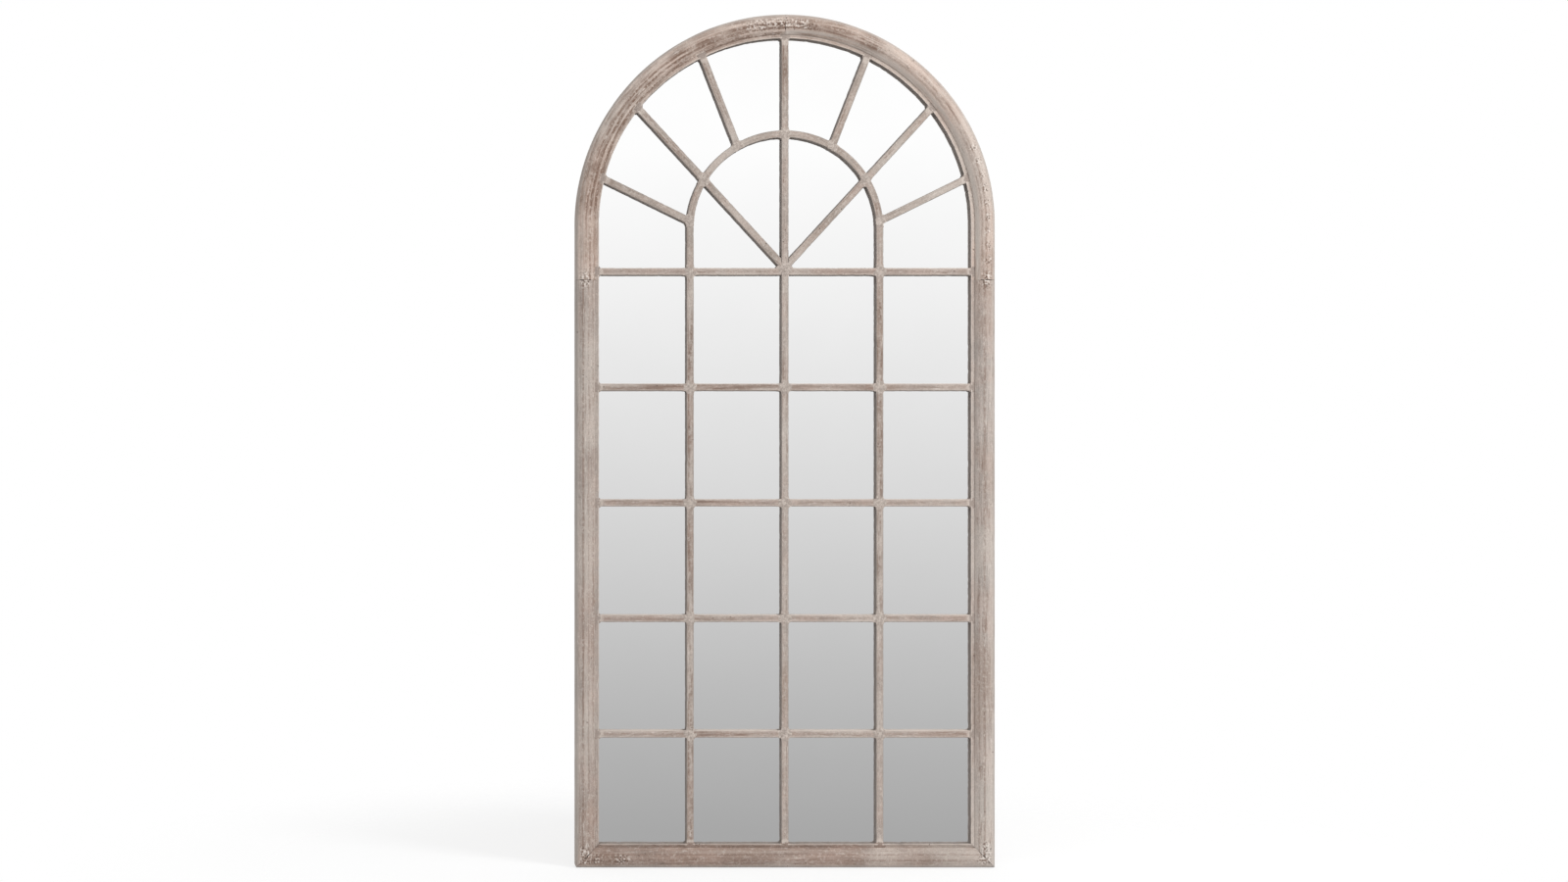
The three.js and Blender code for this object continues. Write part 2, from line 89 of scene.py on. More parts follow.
HALF_WIDTH = CAD_BOX[1].x
WOOD_BACK = STILE_BOX[1].y
FACE_WIDTH = STILE_BOX[1].x - STILE_BOX[0].x
SIGHT = HALF_WIDTH - FACE_WIDTH
SPRING = CAD_BOX[1].z - HALF_WIDTH
FIT = ARCH_BOX[0].z - STILE_BOX[1].z
BAR_WIDTH = BAR_BOX[1].x - BAR_BOX[0].x
BAR_FRONT = BAR_BOX[0].y
BAR_BACK = BAR_BOX[1].y
BAR_COLUMNS = [(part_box(f"upright_bar_{i}")[0].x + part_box(f"upright_bar_{i}")[1].x) / 2 for i in (1, 2, 3)]
BAR_ROWS = [(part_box(f"cross_bar_{i}")[0].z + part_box(f"cross_bar_{i}")[1].z) / 2 for i in range(1, 6)]
FAN_BASE = BAR_ROWS[-1]
INNER_RADIUS = INNER_BOX[1].x - BAR_WIDTH / 2
INNER_CENTRE = INNER_BOX[1].z - INNER_BOX[1].x
HUB_RISE = 8.5 * MM
HUB = Vector((0, 0, FAN_BASE + HUB_RISE))
SPOKE_STEP = math.radians(21.3)
SPOKE_ANGLES = [math.pi / 2 + (i - 3) * SPOKE_STEP for i in range(7)]
INNER_SPOKE_ANGLES = [math.pi / 2 - 2 * SPOKE_STEP, math.pi / 2 + 2 * SPOKE_STEP]
SEAM = 0.02 * MM
UP = Vector((0, 0, 1))
RIGHT = Vector((1, 0, 0))


def paint(red, green, blue):
    """A colour of the screen, from 0 to 255, as the linear colour that Blender works in."""
    shares = [c / 255 for c in (red, green, blue)]
    return tuple(c / 12.92 if c <= 0.04045 else ((c + 0.055) / 1.055) ** 2.4 for c in shares)


# ---------------------------------------------------------------- sizes and colours to change


def length(name, description, default):
    return FloatProperty(
        name=name, description=description, default=default, unit="LENGTH", subtype="DISTANCE"
    )


def colour(name, description, default):
    return FloatVectorProperty(
        name=name, description=description, default=paint(*default), subtype="COLOR", min=0, max=1
    )


class MirrorSizes(bpy.types.PropertyGroup):
    """Sizes of the moulding and of the wear on the wood"""

    rim_height: length("Rim height", "Depth of the wood at its outer edge", 22 * MM)
    rim_width: length("Rim width", "Width of the rounded outer rim", 8 * MM)
    shoulder_height: length("Shoulder height", "Depth where the rim meets the roll", 33 * MM)
    crest_place: length("Crest place", "From the outer edge to the crest", 19 * MM)
    crest_height: length("Crest height", "Depth of the crest", WOOD_BACK - CAD_BOX[0].y)
    roll_end_height: length("Roll end height", "Depth where the roll ends", 25.5 * MM)
    groove_height: length("Groove height", "Depth of the groove's floor", 22.3 * MM)
    clogged_height: length("Clogged groove height", "Depth of the groove where wash fills it", 23.5 * MM)
    groove_width: length("Groove width", "Width of the groove", 5 * MM)
    lip_height: length("Lip height", "Depth of the lip at the mirror", 24 * MM)
    lip_width: length("Lip width", "Width of the lip at the mirror", 3.5 * MM)
    corner_radius: length("Corner radius", "Rounding of the bottom corners", 5 * MM)
    bar_edge: length("Bar edge", "Bevel along a bar's front edges", 1.5 * MM)
    ring_step: length("Step along the wood", "Spacing of the mesh along a member", 3 * MM)
    outline_step: length("Step across the wood", "Spacing of the mesh over a member", 2 * MM)
    undulation: length("Undulation", "How deep the soft hollows in the moulding are", 0.5 * MM)
    bar_undulation: length("Bar undulation", "How deep the soft hollows in the bars are", 0.3 * MM)
    chipping: length("Chipping", "How deep the chips on the moulding's edges are", 1.2 * MM)
    bar_chipping: length("Bar chipping", "How deep the chips on a bar's edges are", 0.45 * MM)
    pitting: length("Pitting", "How deep the pits at the crown and the corners are", 1.3 * MM)
    filler_rise: length("Filler rise", "How far filler stands over a bar", 0.3 * MM)
    filler_reach: length("Filler reach", "How far filler runs along a bar", 17 * MM)
    filler_web: length("Filler web", "How far filler stands off the moulding at a bar's end", 1.2 * MM)
    filler_foot: length("Filler foot", "How far filler runs from the moulding onto a bar", 5 * MM)


class MirrorColours(bpy.types.PropertyGroup):
    """Colours of the washed wood, the mirror and the back"""

    left_stile: colour("Left stile", "Wash on the left stile", (161, 148, 140))
    right_stile: colour("Right stile", "Wash on the right stile", (178, 168, 161))
    rail: colour("Bottom rail", "Wash on the bottom rail", (142, 124, 114))
    arch: colour("Arch", "Wash on the arched members", (192, 175, 164))
    uprights: colour("Upright bars", "Wash on the upright bars", (163, 151, 143))
    cross_bars: colour("Cross bars", "Wash on the cross bars", (168, 154, 146))
    fan: colour("Fan", "Wash on the inner arch and the spokes", (160, 148, 139))
    filler: colour("Filler", "Pale filler over the joints", (199, 188, 179))
    bare_wood: colour("Bare wood", "Brown wood where the wash is rubbed through", (120, 97, 84))
    warm_wash: colour("Warm wash", "Pinkish patches in the wash", (184, 160, 148))
    grey_wash: colour("Grey wash", "Pale grey stretches of the wash", (190, 181, 173))
    brown_wash: colour("Brown wash", "Thin, brown stretches of the wash", (150, 129, 116))
    pit: colour("Pit", "Dirt in the pits", (78, 61, 52))
    lime: colour("Lime", "White lime left in the pores", (222, 214, 207))
    rim: colour("Rim", "Grey of the outer rim", (168, 161, 155))
    # Painted shade: this dark colour goes on the bars' sides, the lip's inner side and the filler by the mirror,
    # where shade falls; the wood there is also taken as unwashed.
    sides: colour("Dark sides", "Unwashed sides at the mirror", (142, 133, 127))
    raw_back: colour("Raw back", "Sawn wood at the back", (150, 124, 98))
    hardboard: colour("Hardboard", "The backboard", (126, 97, 72))
    mirror: colour("Mirror", "Silvering of the mirror", (254, 254, 254))
    steel: colour("Steel", "Zinc plated steel", (190, 192, 194))
    felt: colour("Felt", "The bumper pads", (98, 91, 84))
    floor: colour("Floor", "The pale floor", (243, 243, 243))


# ---------------------------------------------------------------- modelling helpers


def deselect():
    if bpy.context.mode != "OBJECT":
        bpy.ops.object.mode_set(mode="OBJECT")
    bpy.ops.object.select_all(action="DESELECT")


def activate(piece):
    deselect()
    piece.select_set(True)
    bpy.context.view_layer.objects.active = piece


def outlined(name, points):
    """A new piece with one face, drawn by extruding a corner from point to point."""
    deselect()
    bpy.ops.mesh.primitive_plane_add(size=MM, location=points[0])
    piece = bpy.context.object
    piece.name = piece.data.name = name
    bpy.ops.object.transform_apply(location=True)
    bpy.ops.object.mode_set(mode="EDIT")
    bpy.ops.mesh.merge(type="CENTER")
    for here, there in zip(points, points[1:]):
        bpy.ops.mesh.extrude_vertices_move(TRANSFORM_OT_translate={"value": there - here})
    bpy.ops.mesh.select_all(action="SELECT")
    bpy.ops.mesh.edge_face_add()
    return piece


def select_faces(piece, wanted):
    """Selects, in edit mode, the faces for which wanted(centre, normal) is true."""
    bpy.ops.object.mode_set(mode="OBJECT")
    for part in (piece.data.vertices, piece.data.edges, piece.data.polygons):
        part.foreach_set("select", [False] * len(part))
    for face in piece.data.polygons:
        face.select = bool(wanted(face.center, face.normal))
    bpy.ops.object.mode_set(mode="EDIT")


def select_points(piece, wanted):
    """Selects, in edit mode, the points for which wanted(point) is true."""
    select_faces(piece, lambda centre, normal: False)
    bpy.ops.object.mode_set(mode="OBJECT")
    for vertex in piece.data.vertices:
        vertex.select = bool(wanted(vertex.co))
    bpy.ops.object.mode_set(mode="EDIT")


def lengthen(piece, direction, distance, step):
    """Extrudes the selected end in even steps and leaves the new end selected."""
    steps = max(1, round(distance / step))
    stages = math.ceil(steps / MOST_CUTS)
    for stage in range(stages):
        cuts = steps * (stage + 1) // stages - steps * stage // stages
        extend(piece, direction * (distance * cuts / steps), cuts)


def extend(piece, shift, steps):
    """Extrudes the selected end once and cuts the new sides."""
    bpy.ops.mesh.extrude_region_move(TRANSFORM_OT_translate={"value": shift})
    if steps == 1:
        return
    bpy.ops.object.mode_set(mode="OBJECT")
    mesh = piece.data
    end = next(face.center.copy() for face in mesh.polygons if face.select)
    chosen = [vertex.select for vertex in mesh.vertices]
    sides = [chosen[edge.vertices[0]] != chosen[edge.vertices[1]] for edge in mesh.edges]
    for part in (mesh.vertices, mesh.polygons):
        part.foreach_set("select", [False] * len(part))
    mesh.edges.foreach_set("select", sides)
    bpy.context.tool_settings.mesh_select_mode = (False, True, False)
    bpy.ops.object.mode_set(mode="EDIT")
    bpy.ops.mesh.subdivide(number_cuts=steps - 1)
    bpy.context.tool_settings.mesh_select_mode = (True, False, False)
    select_faces(piece, lambda centre, normal: (centre - end).length < 0.01 * MM)


def bend(centre_height, angle, radius, step):
    """Turns the selected face round the frame's middle line, from right to left."""
    steps = round(radius * angle / step)
    bpy.ops.mesh.spin(steps=steps, angle=angle, center=(0, 0, centre_height), axis=(0, 1, 0))


def trim(point, normal):
    """Cuts off and closes what lies beyond a plane."""
    bpy.ops.mesh.select_all(action="SELECT")
    bpy.ops.mesh.bisect(plane_co=point, plane_no=normal, use_fill=True, clear_outer=True)


def close_up(piece):
    """Leaves edit mode with every face pointing out, and stops if the piece has a hole."""
    bpy.ops.mesh.select_all(action="SELECT")
    bpy.ops.mesh.remove_doubles(threshold=0.01 * MM)
    bpy.ops.mesh.normals_make_consistent(inside=False)
    bpy.ops.mesh.select_all(action="DESELECT")
    bpy.ops.mesh.select_non_manifold()
    bpy.ops.object.mode_set(mode="OBJECT")
    loose = sum(edge.select for edge in piece.data.edges)
    if loose:
        raise RuntimeError(f"{piece.name} has {loose} open edges")
    return piece


def copied(piece, name):
    """A copy with its own mesh."""
    activate(piece)
    bpy.ops.object.duplicate(linked=False)
    copy = bpy.context.object
    copy.name = copy.data.name = name
    return copy


def mirrored(piece, name):
    """The mirror image of a piece across the middle line."""
    copy = copied(piece, name)
    bpy.ops.object.mode_set(mode="EDIT")
    bpy.ops.mesh.select_all(action="SELECT")
    bpy.ops.transform.mirror(constraint_axis=(True, False, False), center_override=(0, 0, 0))
    return close_up(copy)


def moved(piece, shift):
    activate(piece)
    piece.location = shift
    bpy.ops.object.transform_apply(location=True)
    return piece


def set_out(pattern, places):
    """Copies of a pattern, one for every name and shift. The pattern goes."""
    copies = [moved(copied(pattern, name), shift) for name, shift in places]
    bpy.data.objects.remove(pattern)
    return copies


def apply_modifier(piece, kind, group="", **settings):
    activate(piece)
    modifier = piece.modifiers.new(kind.title(), kind)
    for key, value in settings.items():
        setattr(modifier, key, value)
    if group:
        modifier.vertex_group = group
    bpy.ops.object.modifier_apply(modifier=modifier.name)


def smooth(piece, degrees=38):
    activate(piece)
    bpy.ops.object.shade_smooth_by_angle(angle=math.radians(degrees))


def dress(piece, material, slot, body, *nodes):
    """Gives a finished piece its material and its body, and hides the nodes it stands for. The slot is not used.
    """
    piece.data.materials.clear()
    piece.data.materials.append(material)
    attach(piece, body)
    if nodes:
        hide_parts(*nodes)
    return piece


def points_of(piece):
    flat = np.zeros(len(piece.data.vertices) * 3)
    piece.data.vertices.foreach_get("co", flat)
    return flat.reshape(-1, 3)


# ---------------------------------------------------------------- outlines


def arc_points(start, control, end, steps):
    """Points on a quadratic curve, without its first."""
    shares = [(i + 1) / steps for i in range(steps)]
    return [
        tuple((1 - t) ** 2 * a + 2 * t * (1 - t) * c + t * t * e for a, c, e in zip(start, control, end))
        for t in shares
    ]


def refined(points, step):
    """The same closed outline with more points on its long sides."""
    fine = []
    for here, there in zip(points, points[1:] + points[:1]):
        count = max(1, round(math.dist(here, there) / step))
        fine += [tuple(a + (b - a) * i / count for a, b in zip(here, there)) for i in range(count)]
    return fine


def moulding_outline(sizes, groove_height):
    """The moulding as (across from the outer edge, depth)."""
    roll_end = FACE_WIDTH - sizes.lip_width - sizes.groove_width
    shoulder = (sizes.rim_width, sizes.shoulder_height)
    crest = (sizes.crest_place, sizes.crest_height)
    rim = (0, sizes.rim_height)
    to_crest = ((shoulder[0] + crest[0]) / 2, crest[1])
    to_groove = ((crest[0] + roll_end) / 2, crest[1])
    lip = FACE_WIDTH - sizes.lip_width
    front = [rim]
    front += arc_points(rim, (0, shoulder[1]), shoulder, 6)
    front += arc_points(shoulder, to_crest, crest, 5)
    front += arc_points(crest, to_groove, (roll_end, sizes.roll_end_height), 10)
    front += [(roll_end, groove_height), (lip, groove_height)]
    front += [(lip, sizes.lip_height), (FACE_WIDTH, sizes.lip_height)]
    glass_wall = HALF_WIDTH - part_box("mirror_sheet")[1].x - MM
    board_wall = HALF_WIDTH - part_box("backboard")[1].x - MM
    bar_seat = WOOD_BACK - BAR_BACK
    board_seat = WOOD_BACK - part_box("mirror_sheet")[1].y
    back = [
        (FACE_WIDTH, bar_seat),
        (glass_wall, bar_seat),
        (glass_wall, board_seat),
        (board_wall, board_seat),
        (board_wall, 0),
    ]
    return refined([(0, 0), *front, *back], sizes.outline_step)


def bar_outline(sizes):
    """A glazing bar as (across from its middle, depth)."""
    half, edge = BAR_WIDTH / 2, sizes.bar_edge
    front, back = WOOD_BACK - BAR_FRONT, WOOD_BACK - BAR_BACK
    corners = [
        (-half, back),
        (-half, front - edge),
        (-half + edge, front),
        (half - edge, front),
        (half, front - edge),
        (half, back),
    ]
    return refined(corners, sizes.outline_step)


def placed(outline, origin, across_axis):
    """An outline's points in space: across runs from the origin along an axis, depth to the front."""
    return [
        Vector(origin) + across_axis * across + Vector((0, WOOD_BACK - depth, 0))
        for across, depth in outline
    ]


# ---------------------------------------------------------------- grain, filler and wear

# Where filler lies, as (x, z, radius): over crossings and bar ends.
def filler_spots():
    spots = [(x, z, 13 * MM) for x in BAR_COLUMNS for z in BAR_ROWS]
    spots += [(side * SIGHT, z, 15 * MM) for side in (-1, 1) for z in BAR_ROWS]
    spots += [(x, FACE_WIDTH, 16 * MM) for x in BAR_COLUMNS]
    spots += [(0, HUB.z, 17 * MM)]
    for angle in SPOKE_ANGLES:
        inner, outer = arch_hit(angle, INNER_RADIUS, INNER_CENTRE), arch_hit(angle, SIGHT, SPRING)
        spots += [(inner.x, inner.z, 13 * MM), (outer.x, outer.z, 20 * MM)]
    return spots


# Where the wash is pitted, as (x, z, radius): the crown, the right shoulder, the corners, the side joints.
def pitted_spots():
    crown = CAD_BOX[1].z
    spots = [(10 * MM, crown - 20 * MM, 75 * MM), (-60 * MM, crown - 25 * MM, 40 * MM)]
    spots += [(x * MM, 17 * MM, 24 * MM) for x in (-426, -408, -350, 428)]
    spots += [(-429 * MM, 34 * MM, 24 * MM), (430 * MM, 40 * MM, 24 * MM)]
    spots += [(side * (HALF_WIDTH - 22 * MM), STILE_BOX[1].z, 26 * MM) for side in (-1, 1)]
    line = HALF_WIDTH - 15 * MM
    for angle in np.radians(range(-14, 24, 4)):
        turn = max(angle, 0)
        rise = line * math.sin(turn) + HALF_WIDTH * min(angle, 0)
        spots.append((line * math.cos(turn), SPRING + rise, 13 * MM))
    return spots


# Where the wash is rubbed through to brown, as (x, z, radius).
def rubbed_spots():
    crown = CAD_BOX[1].z
    low_bar, high_spoke = BAR_COLUMNS[0], SPOKE_ANGLES[4:6]
    spots = [(low_bar, z * MM, 110 * MM) for z in range(110, 1200, 100)]
    spots += [(BAR_COLUMNS[2], z * MM, 52 * MM) for z in range(560, 1260, 90)]
    spots += [(x * MM, BAR_ROWS[3], 100 * MM) for x in (-330, -230, -130, -40)]
    spots += [(0, crown - 95 * MM, 75 * MM), (-380 * MM, 17 * MM, 34 * MM)]
    for angle in high_spoke:
        outer = arch_hit(angle, SIGHT - 75 * MM, SPRING)
        spots.append((outer.x, outer.z, 90 * MM))
    reach = HALF_WIDTH - 27 * MM
    arcs = {41: (65, 75, 84, 93, 103, 113, 123), 48: (133, 141, 149, 157, 165, 173)}
    for radius, angles in arcs.items():
        for angle in np.radians(angles):
            spots.append((reach * math.cos(angle), SPRING + reach * math.sin(angle), radius * MM))
    return spots


def arch_hit(angle, radius, centre_height):
    """Where a spoke at an angle crosses a circle round the middle line."""
    direction = Vector((math.cos(angle), 0, math.sin(angle)))
    offset = HUB - Vector((0, 0, centre_height))
    along = -offset.dot(direction) + math.sqrt(offset.dot(direction) ** 2 - offset.length_squared + radius**2)
    return HUB + direction * along


def store(piece, name, values, kind="FLOAT"):
    attribute = piece.data.attributes.new(name, kind, "POINT")
    key = "vector" if kind == "FLOAT_VECTOR" else "value"
    attribute.data.foreach_set(key, np.ascontiguousarray(values, dtype=np.float32).ravel())


def mark_grain(piece, along, across):
    """Keeps where each point lies in its member, and how much filler lies on it."""
    points = points_of(piece)
    depth = WOOD_BACK - points[:, 1]
    store(piece, "grain", np.stack([along, across, depth], axis=1), "FLOAT_VECTOR")
    kinds = {"filler": filler_spots(), "pitted": pitted_spots(), "rubbed": rubbed_spots()}
    for name, spots in kinds.items():
        cover = np.zeros(len(points))
        for x, z, radius in spots:
            distance = np.hypot(points[:, 0] - x, points[:, 2] - z)
            cover = np.maximum(cover, np.clip(1.5 - 1.5 * distance / radius, 0, 1))
        store(piece, name, cover)


def mark_straight(piece, start, direction, across_axis, offset):
    points = points_of(piece) - np.array(start)
    mark_grain(piece, points @ np.array(direction) + offset, points @ np.array(across_axis))


def weighted(piece, name, weights):
    """A vertex group with a weight for every vertex."""
    group = piece.vertex_groups.new(name=name)
    for level in range(1, 9):
        found = np.flatnonzero(np.round(weights * 8) == level)
        if len(found):
            group.add(found.tolist(), level / 8, "REPLACE")
    return group.name


def wear_textures():
    """Soft hollows, and the spots where chips are."""
    hollows = bpy.data.textures.new("soft hollows", "CLOUDS")
    hollows.noise_scale = 0.045
    hollows.noise_depth = 2
    pits = bpy.data.textures.new("pits", "CLOUDS")
    pits.noise_scale = 0.006
    pits.use_color_ramp = True
    pits.color_ramp.elements[0].position, pits.color_ramp.elements[0].color = 0.36, (0, 0, 0, 1)
    pits.color_ramp.elements[1].position, pits.color_ramp.elements[1].color = 0.50, (1, 1, 1, 1)
    chips = bpy.data.textures.new("chips", "CLOUDS")
    chips.noise_scale = 0.011
    chips.noise_depth = 2
    chips.use_color_ramp = True
    ramp = chips.color_ramp
    ramp.elements[0].position, ramp.elements[0].color = 0.30, (0, 0, 0, 1)
    ramp.elements[1].position, ramp.elements[1].color = 0.46, (1, 1, 1, 1)
    return {"hollows": hollows, "chips": chips, "pits": pits}


def read(piece, name, width=1):
    """The values of an attribute, one row for each vertex."""
    data = piece.data.attributes[name].data
    values = np.zeros(len(data) * width, dtype=np.float32)
    data.foreach_get("vector" if width == 3 else "value", values)
    return values.reshape(-1, width)


def worn(piece, sizes, textures, arrises, reach, hollow, chipping):
    """Sinks soft hollows, chipped edges and pits into a member, never out of its own shape."""
    _, across, depth = read(piece, "grain", 3).T
    near = np.max([1 - np.abs(across - place) / reach for place in arrises], axis=0)
    edges = weighted(piece, "edges", np.clip(near, 0, 1))
    on_roll = (across > 9 * MM) & (across < 34 * MM) & (depth > 15 * MM)
    rough = weighted(piece, "rough", read(piece, "pitted")[:, 0] * on_roll)
    common = {"texture_coords": "LOCAL", "mid_level": 1.0}
    apply_modifier(piece, "DISPLACE", texture=textures["hollows"], strength=hollow, **common)
    apply_modifier(piece, "DISPLACE", edges, texture=textures["chips"], strength=chipping, **common)
    apply_modifier(piece, "DISPLACE", rough, texture=textures["pits"], strength=sizes.pitting, **common)
    piece.vertex_groups.clear()
    smooth(piece)


# ---------------------------------------------------------------- materials


class Finish:
    """A material made of nodes, with short ways to add the ones that the finishes share."""

    def __init__(self, name):
        self.material = bpy.data.materials.new(name)
        self.material.use_nodes = True
        self.tree = self.material.node_tree
        self.shader = self.tree.nodes["Principled BSDF"]

    def set(self, **values):
        for key, value in values.items():
            self.put(self.shader.inputs[key.replace("_", " ")], value)

    def put(self, socket, value):
        if isinstance(value, bpy.types.NodeSocket):
            self.tree.links.new(value, socket)
        elif socket.type == "RGBA" and len(value) == 3:
            socket.default_value = (*value, 1)
        else:
            socket.default_value = value

    def add(self, kind, inputs, **settings):
        node = self.tree.nodes.new(kind)
        for key, value in settings.items():
            setattr(node, key, value)
        for key, value in inputs.items():
            self.put(node.inputs[key], value)
        return node

    def place(self):
        return self.add("ShaderNodeTexCoord", {}).outputs["Object"]

    def attribute(self, name, output):
        return self.add("ShaderNodeAttribute", {}, attribute_name=name).outputs[output]

    def stretched(self, vector, scale):
        return self.add("ShaderNodeMapping", {"Vector": vector, "Scale": scale}).outputs[0]

    def noise(self, vector, scale, detail=3, roughness=0.55):
        inputs = {"Vector": vector, "Scale": scale, "Detail": detail, "Roughness": roughness}
        return self.add("ShaderNodeTexNoise", inputs).outputs["Fac"]

    def cells(self, vector, scale):
        return self.add("ShaderNodeTexVoronoi", {"Vector": vector, "Scale": scale}).outputs["Distance"]

    def mask(self, value, low, high):
        """0 below low and 1 above high, or the other way round where high is the lower."""
        inputs = {0: value, 1: low, 2: high, 3: 0.0, 4: 1.0}
        return self.add("ShaderNodeMapRange", inputs, interpolation_type="SMOOTHSTEP").outputs[0]

    def math(self, operation, first, second):
        return self.add("ShaderNodeMath", {0: first, 1: second}, operation=operation).outputs[0]

    def blend(self, share, first, second, mode="MIX"):
        inputs = {0: share, 6: first, 7: second}
        return self.add("ShaderNodeMix", inputs, data_type="RGBA", blend_type=mode).outputs[2]

    def bump(self, height, distance, strength=1.0):
        inputs = {"Height": height, "Distance": distance, "Strength": strength}
        self.set(Normal=self.add("ShaderNodeBump", inputs).outputs[0])


def grey(level):
    return (level, level, level)


def band(finish, across, low, high, soft):
    """1 between two places over a member's width."""
    rise = finish.mask(across, low - soft, low + soft)
    fall = finish.mask(across, high + soft, high - soft)
    return finish.math("MULTIPLY", rise, fall)


def washed_wood(name, wash, colours, lines):
    """Washed wood. lines(finish, across, depth, colour, broken) adds what runs along the member."""
    finish = Finish(name)
    grain = finish.attribute("grain", "Vector")
    parts = finish.add("ShaderNodeSeparateXYZ", {0: grain}).outputs
    across, depth = parts[1], parts[2]
    place = finish.place()

    streaks = finish.noise(finish.stretched(grain, (11, 170, 170)), 1, 5, 0.62)
    fibres = finish.noise(finish.stretched(grain, (60, 900, 900)), 1, 3, 0.6)
    saw_lines = finish.noise(finish.stretched(grain, (14, 260, 260)), 1, 4, 0.7)
    clouds = finish.noise(place, 15, 4, 0.6)
    mottle = finish.noise(place, 170, 4, 0.68)
    speckle = finish.noise(place, 620, 3, 0.7)

    tone = finish.blend(finish.mask(streaks, 0.36, 0.64), grey(0.86), grey(1.11))
    colour = finish.blend(1.0, wash, tone, "MULTIPLY")
    patches = finish.math("MULTIPLY", finish.mask(clouds, 0.40, 0.62), 0.35)
    colour = finish.blend(patches, colour, colours.warm_wash)
    drift = finish.noise(place, 3.8, 2, 0.5)
    colour = finish.blend(finish.math("MULTIPLY", finish.mask(drift, 0.46, 0.62), 0.6), colour, colours.grey_wash)
    colour = finish.blend(finish.math("MULTIPLY", finish.mask(drift, 0.48, 0.34), 0.5), colour, colours.brown_wash)
    rubbed = finish.math("MULTIPLY", finish.mask(streaks, 0.46, 0.32), finish.mask(clouds, 0.44, 0.60))
    rubbed_most = finish.math("MULTIPLY", finish.attribute("rubbed", "Fac"), finish.mask(streaks, 0.62, 0.40))
    rubbed = finish.math("MAXIMUM", rubbed, rubbed_most)
    colour = finish.blend(finish.math("MULTIPLY", rubbed, 0.7), colour, colours.bare_wood)
    limed = finish.math("MULTIPLY", finish.mask(mottle, 0.50, 0.70), 0.5)
    colour = finish.blend(limed, colour, colours.filler)
    grit = finish.blend(finish.mask(speckle, 0.32, 0.68), grey(0.80), grey(1.17))
    colour = finish.blend(1.0, colour, grit, "MULTIPLY")
    colour = finish.blend(1.0, colour, finish.blend(fibres, grey(0.90), grey(1.10)), "MULTIPLY")
    colour = lines(finish, across, depth, colour, mottle, streaks)

    cover = finish.math("ADD", finish.attribute("filler", "Fac"), finish.math("MULTIPLY", mottle, 1.2))
    filled = finish.math("MULTIPLY", finish.mask(cover, 0.95, 1.45), 0.7)
    filler = finish.blend(1.0, colours.filler, grit, "MULTIPLY")
    front = finish.mask(depth, 18 * MM, 21 * MM)
    colour = finish.blend(finish.math("MULTIPLY", filled, front), colour, filler)

    rough = finish.math("MULTIPLY", finish.attribute("pitted", "Fac"), finish.mask(mottle, 0.32, 0.52))
    rough = finish.math("MULTIPLY", rough, band(finish, across, 9 * MM, 30 * MM, 3 * MM))
    crust = finish.cells(place, 230)
    holes = finish.math("MULTIPLY", finish.mask(crust, 0.38, 0.20), rough)
    flecks = finish.math("MULTIPLY", finish.mask(crust, 0.56, 0.76), rough)
    colour = finish.blend(finish.math("MULTIPLY", flecks, 0.85), colour, colours.lime)
    pores = finish.noise(finish.stretched(grain, (30, 430, 430)), 1, 3, 0.7)
    colour = finish.blend(finish.math("MULTIPLY", finish.mask(pores, 0.60, 0.70), 0.55), colour, colours.lime)
    dark = finish.math("MULTIPLY", finish.mask(pores, 0.40, 0.30), 0.45)
    colour = finish.blend(dark, colour, colours.bare_wood)
    pits = finish.mask(finish.cells(place, 95), 0.16, 0.07)
    sparse = finish.mask(finish.noise(place, 33, 2), 0.58, 0.66)
    pitted = finish.math("MAXIMUM", finish.math("MULTIPLY", pits, sparse), holes)
    colour = finish.blend(finish.math("MULTIPLY", pitted, 0.85), colour, colours.pit)
    sawn = finish.blend(finish.mask(saw_lines, 0.34, 0.66), grey(0.70), grey(1.18))
    raw = finish.blend(1.0, colours.raw_back, sawn, "MULTIPLY")
    raw = finish.blend(1.0, raw, finish.blend(fibres, grey(0.86), grey(1.14)), "MULTIPLY")
    colour = finish.blend(finish.mask(depth, 2 * MM, 0.4 * MM), colour, raw)

    height = finish.math("ADD", finish.math("MULTIPLY", streaks, 0.5), finish.math("MULTIPLY", fibres, 0.35))
    height = finish.math("ADD", height, finish.math("MULTIPLY", mottle, 0.6))
    height = finish.math("SUBTRACT", height, finish.math("MULTIPLY", pitted, 1.2))
    finish.bump(height, 0.9 * MM, 0.8)
    roughness = finish.math("ADD", finish.math("MULTIPLY", mottle, 0.25), 0.66)
    finish.set(Base_Color=colour, Roughness=roughness, Specular_IOR_Level=0.25)
    return finish.material


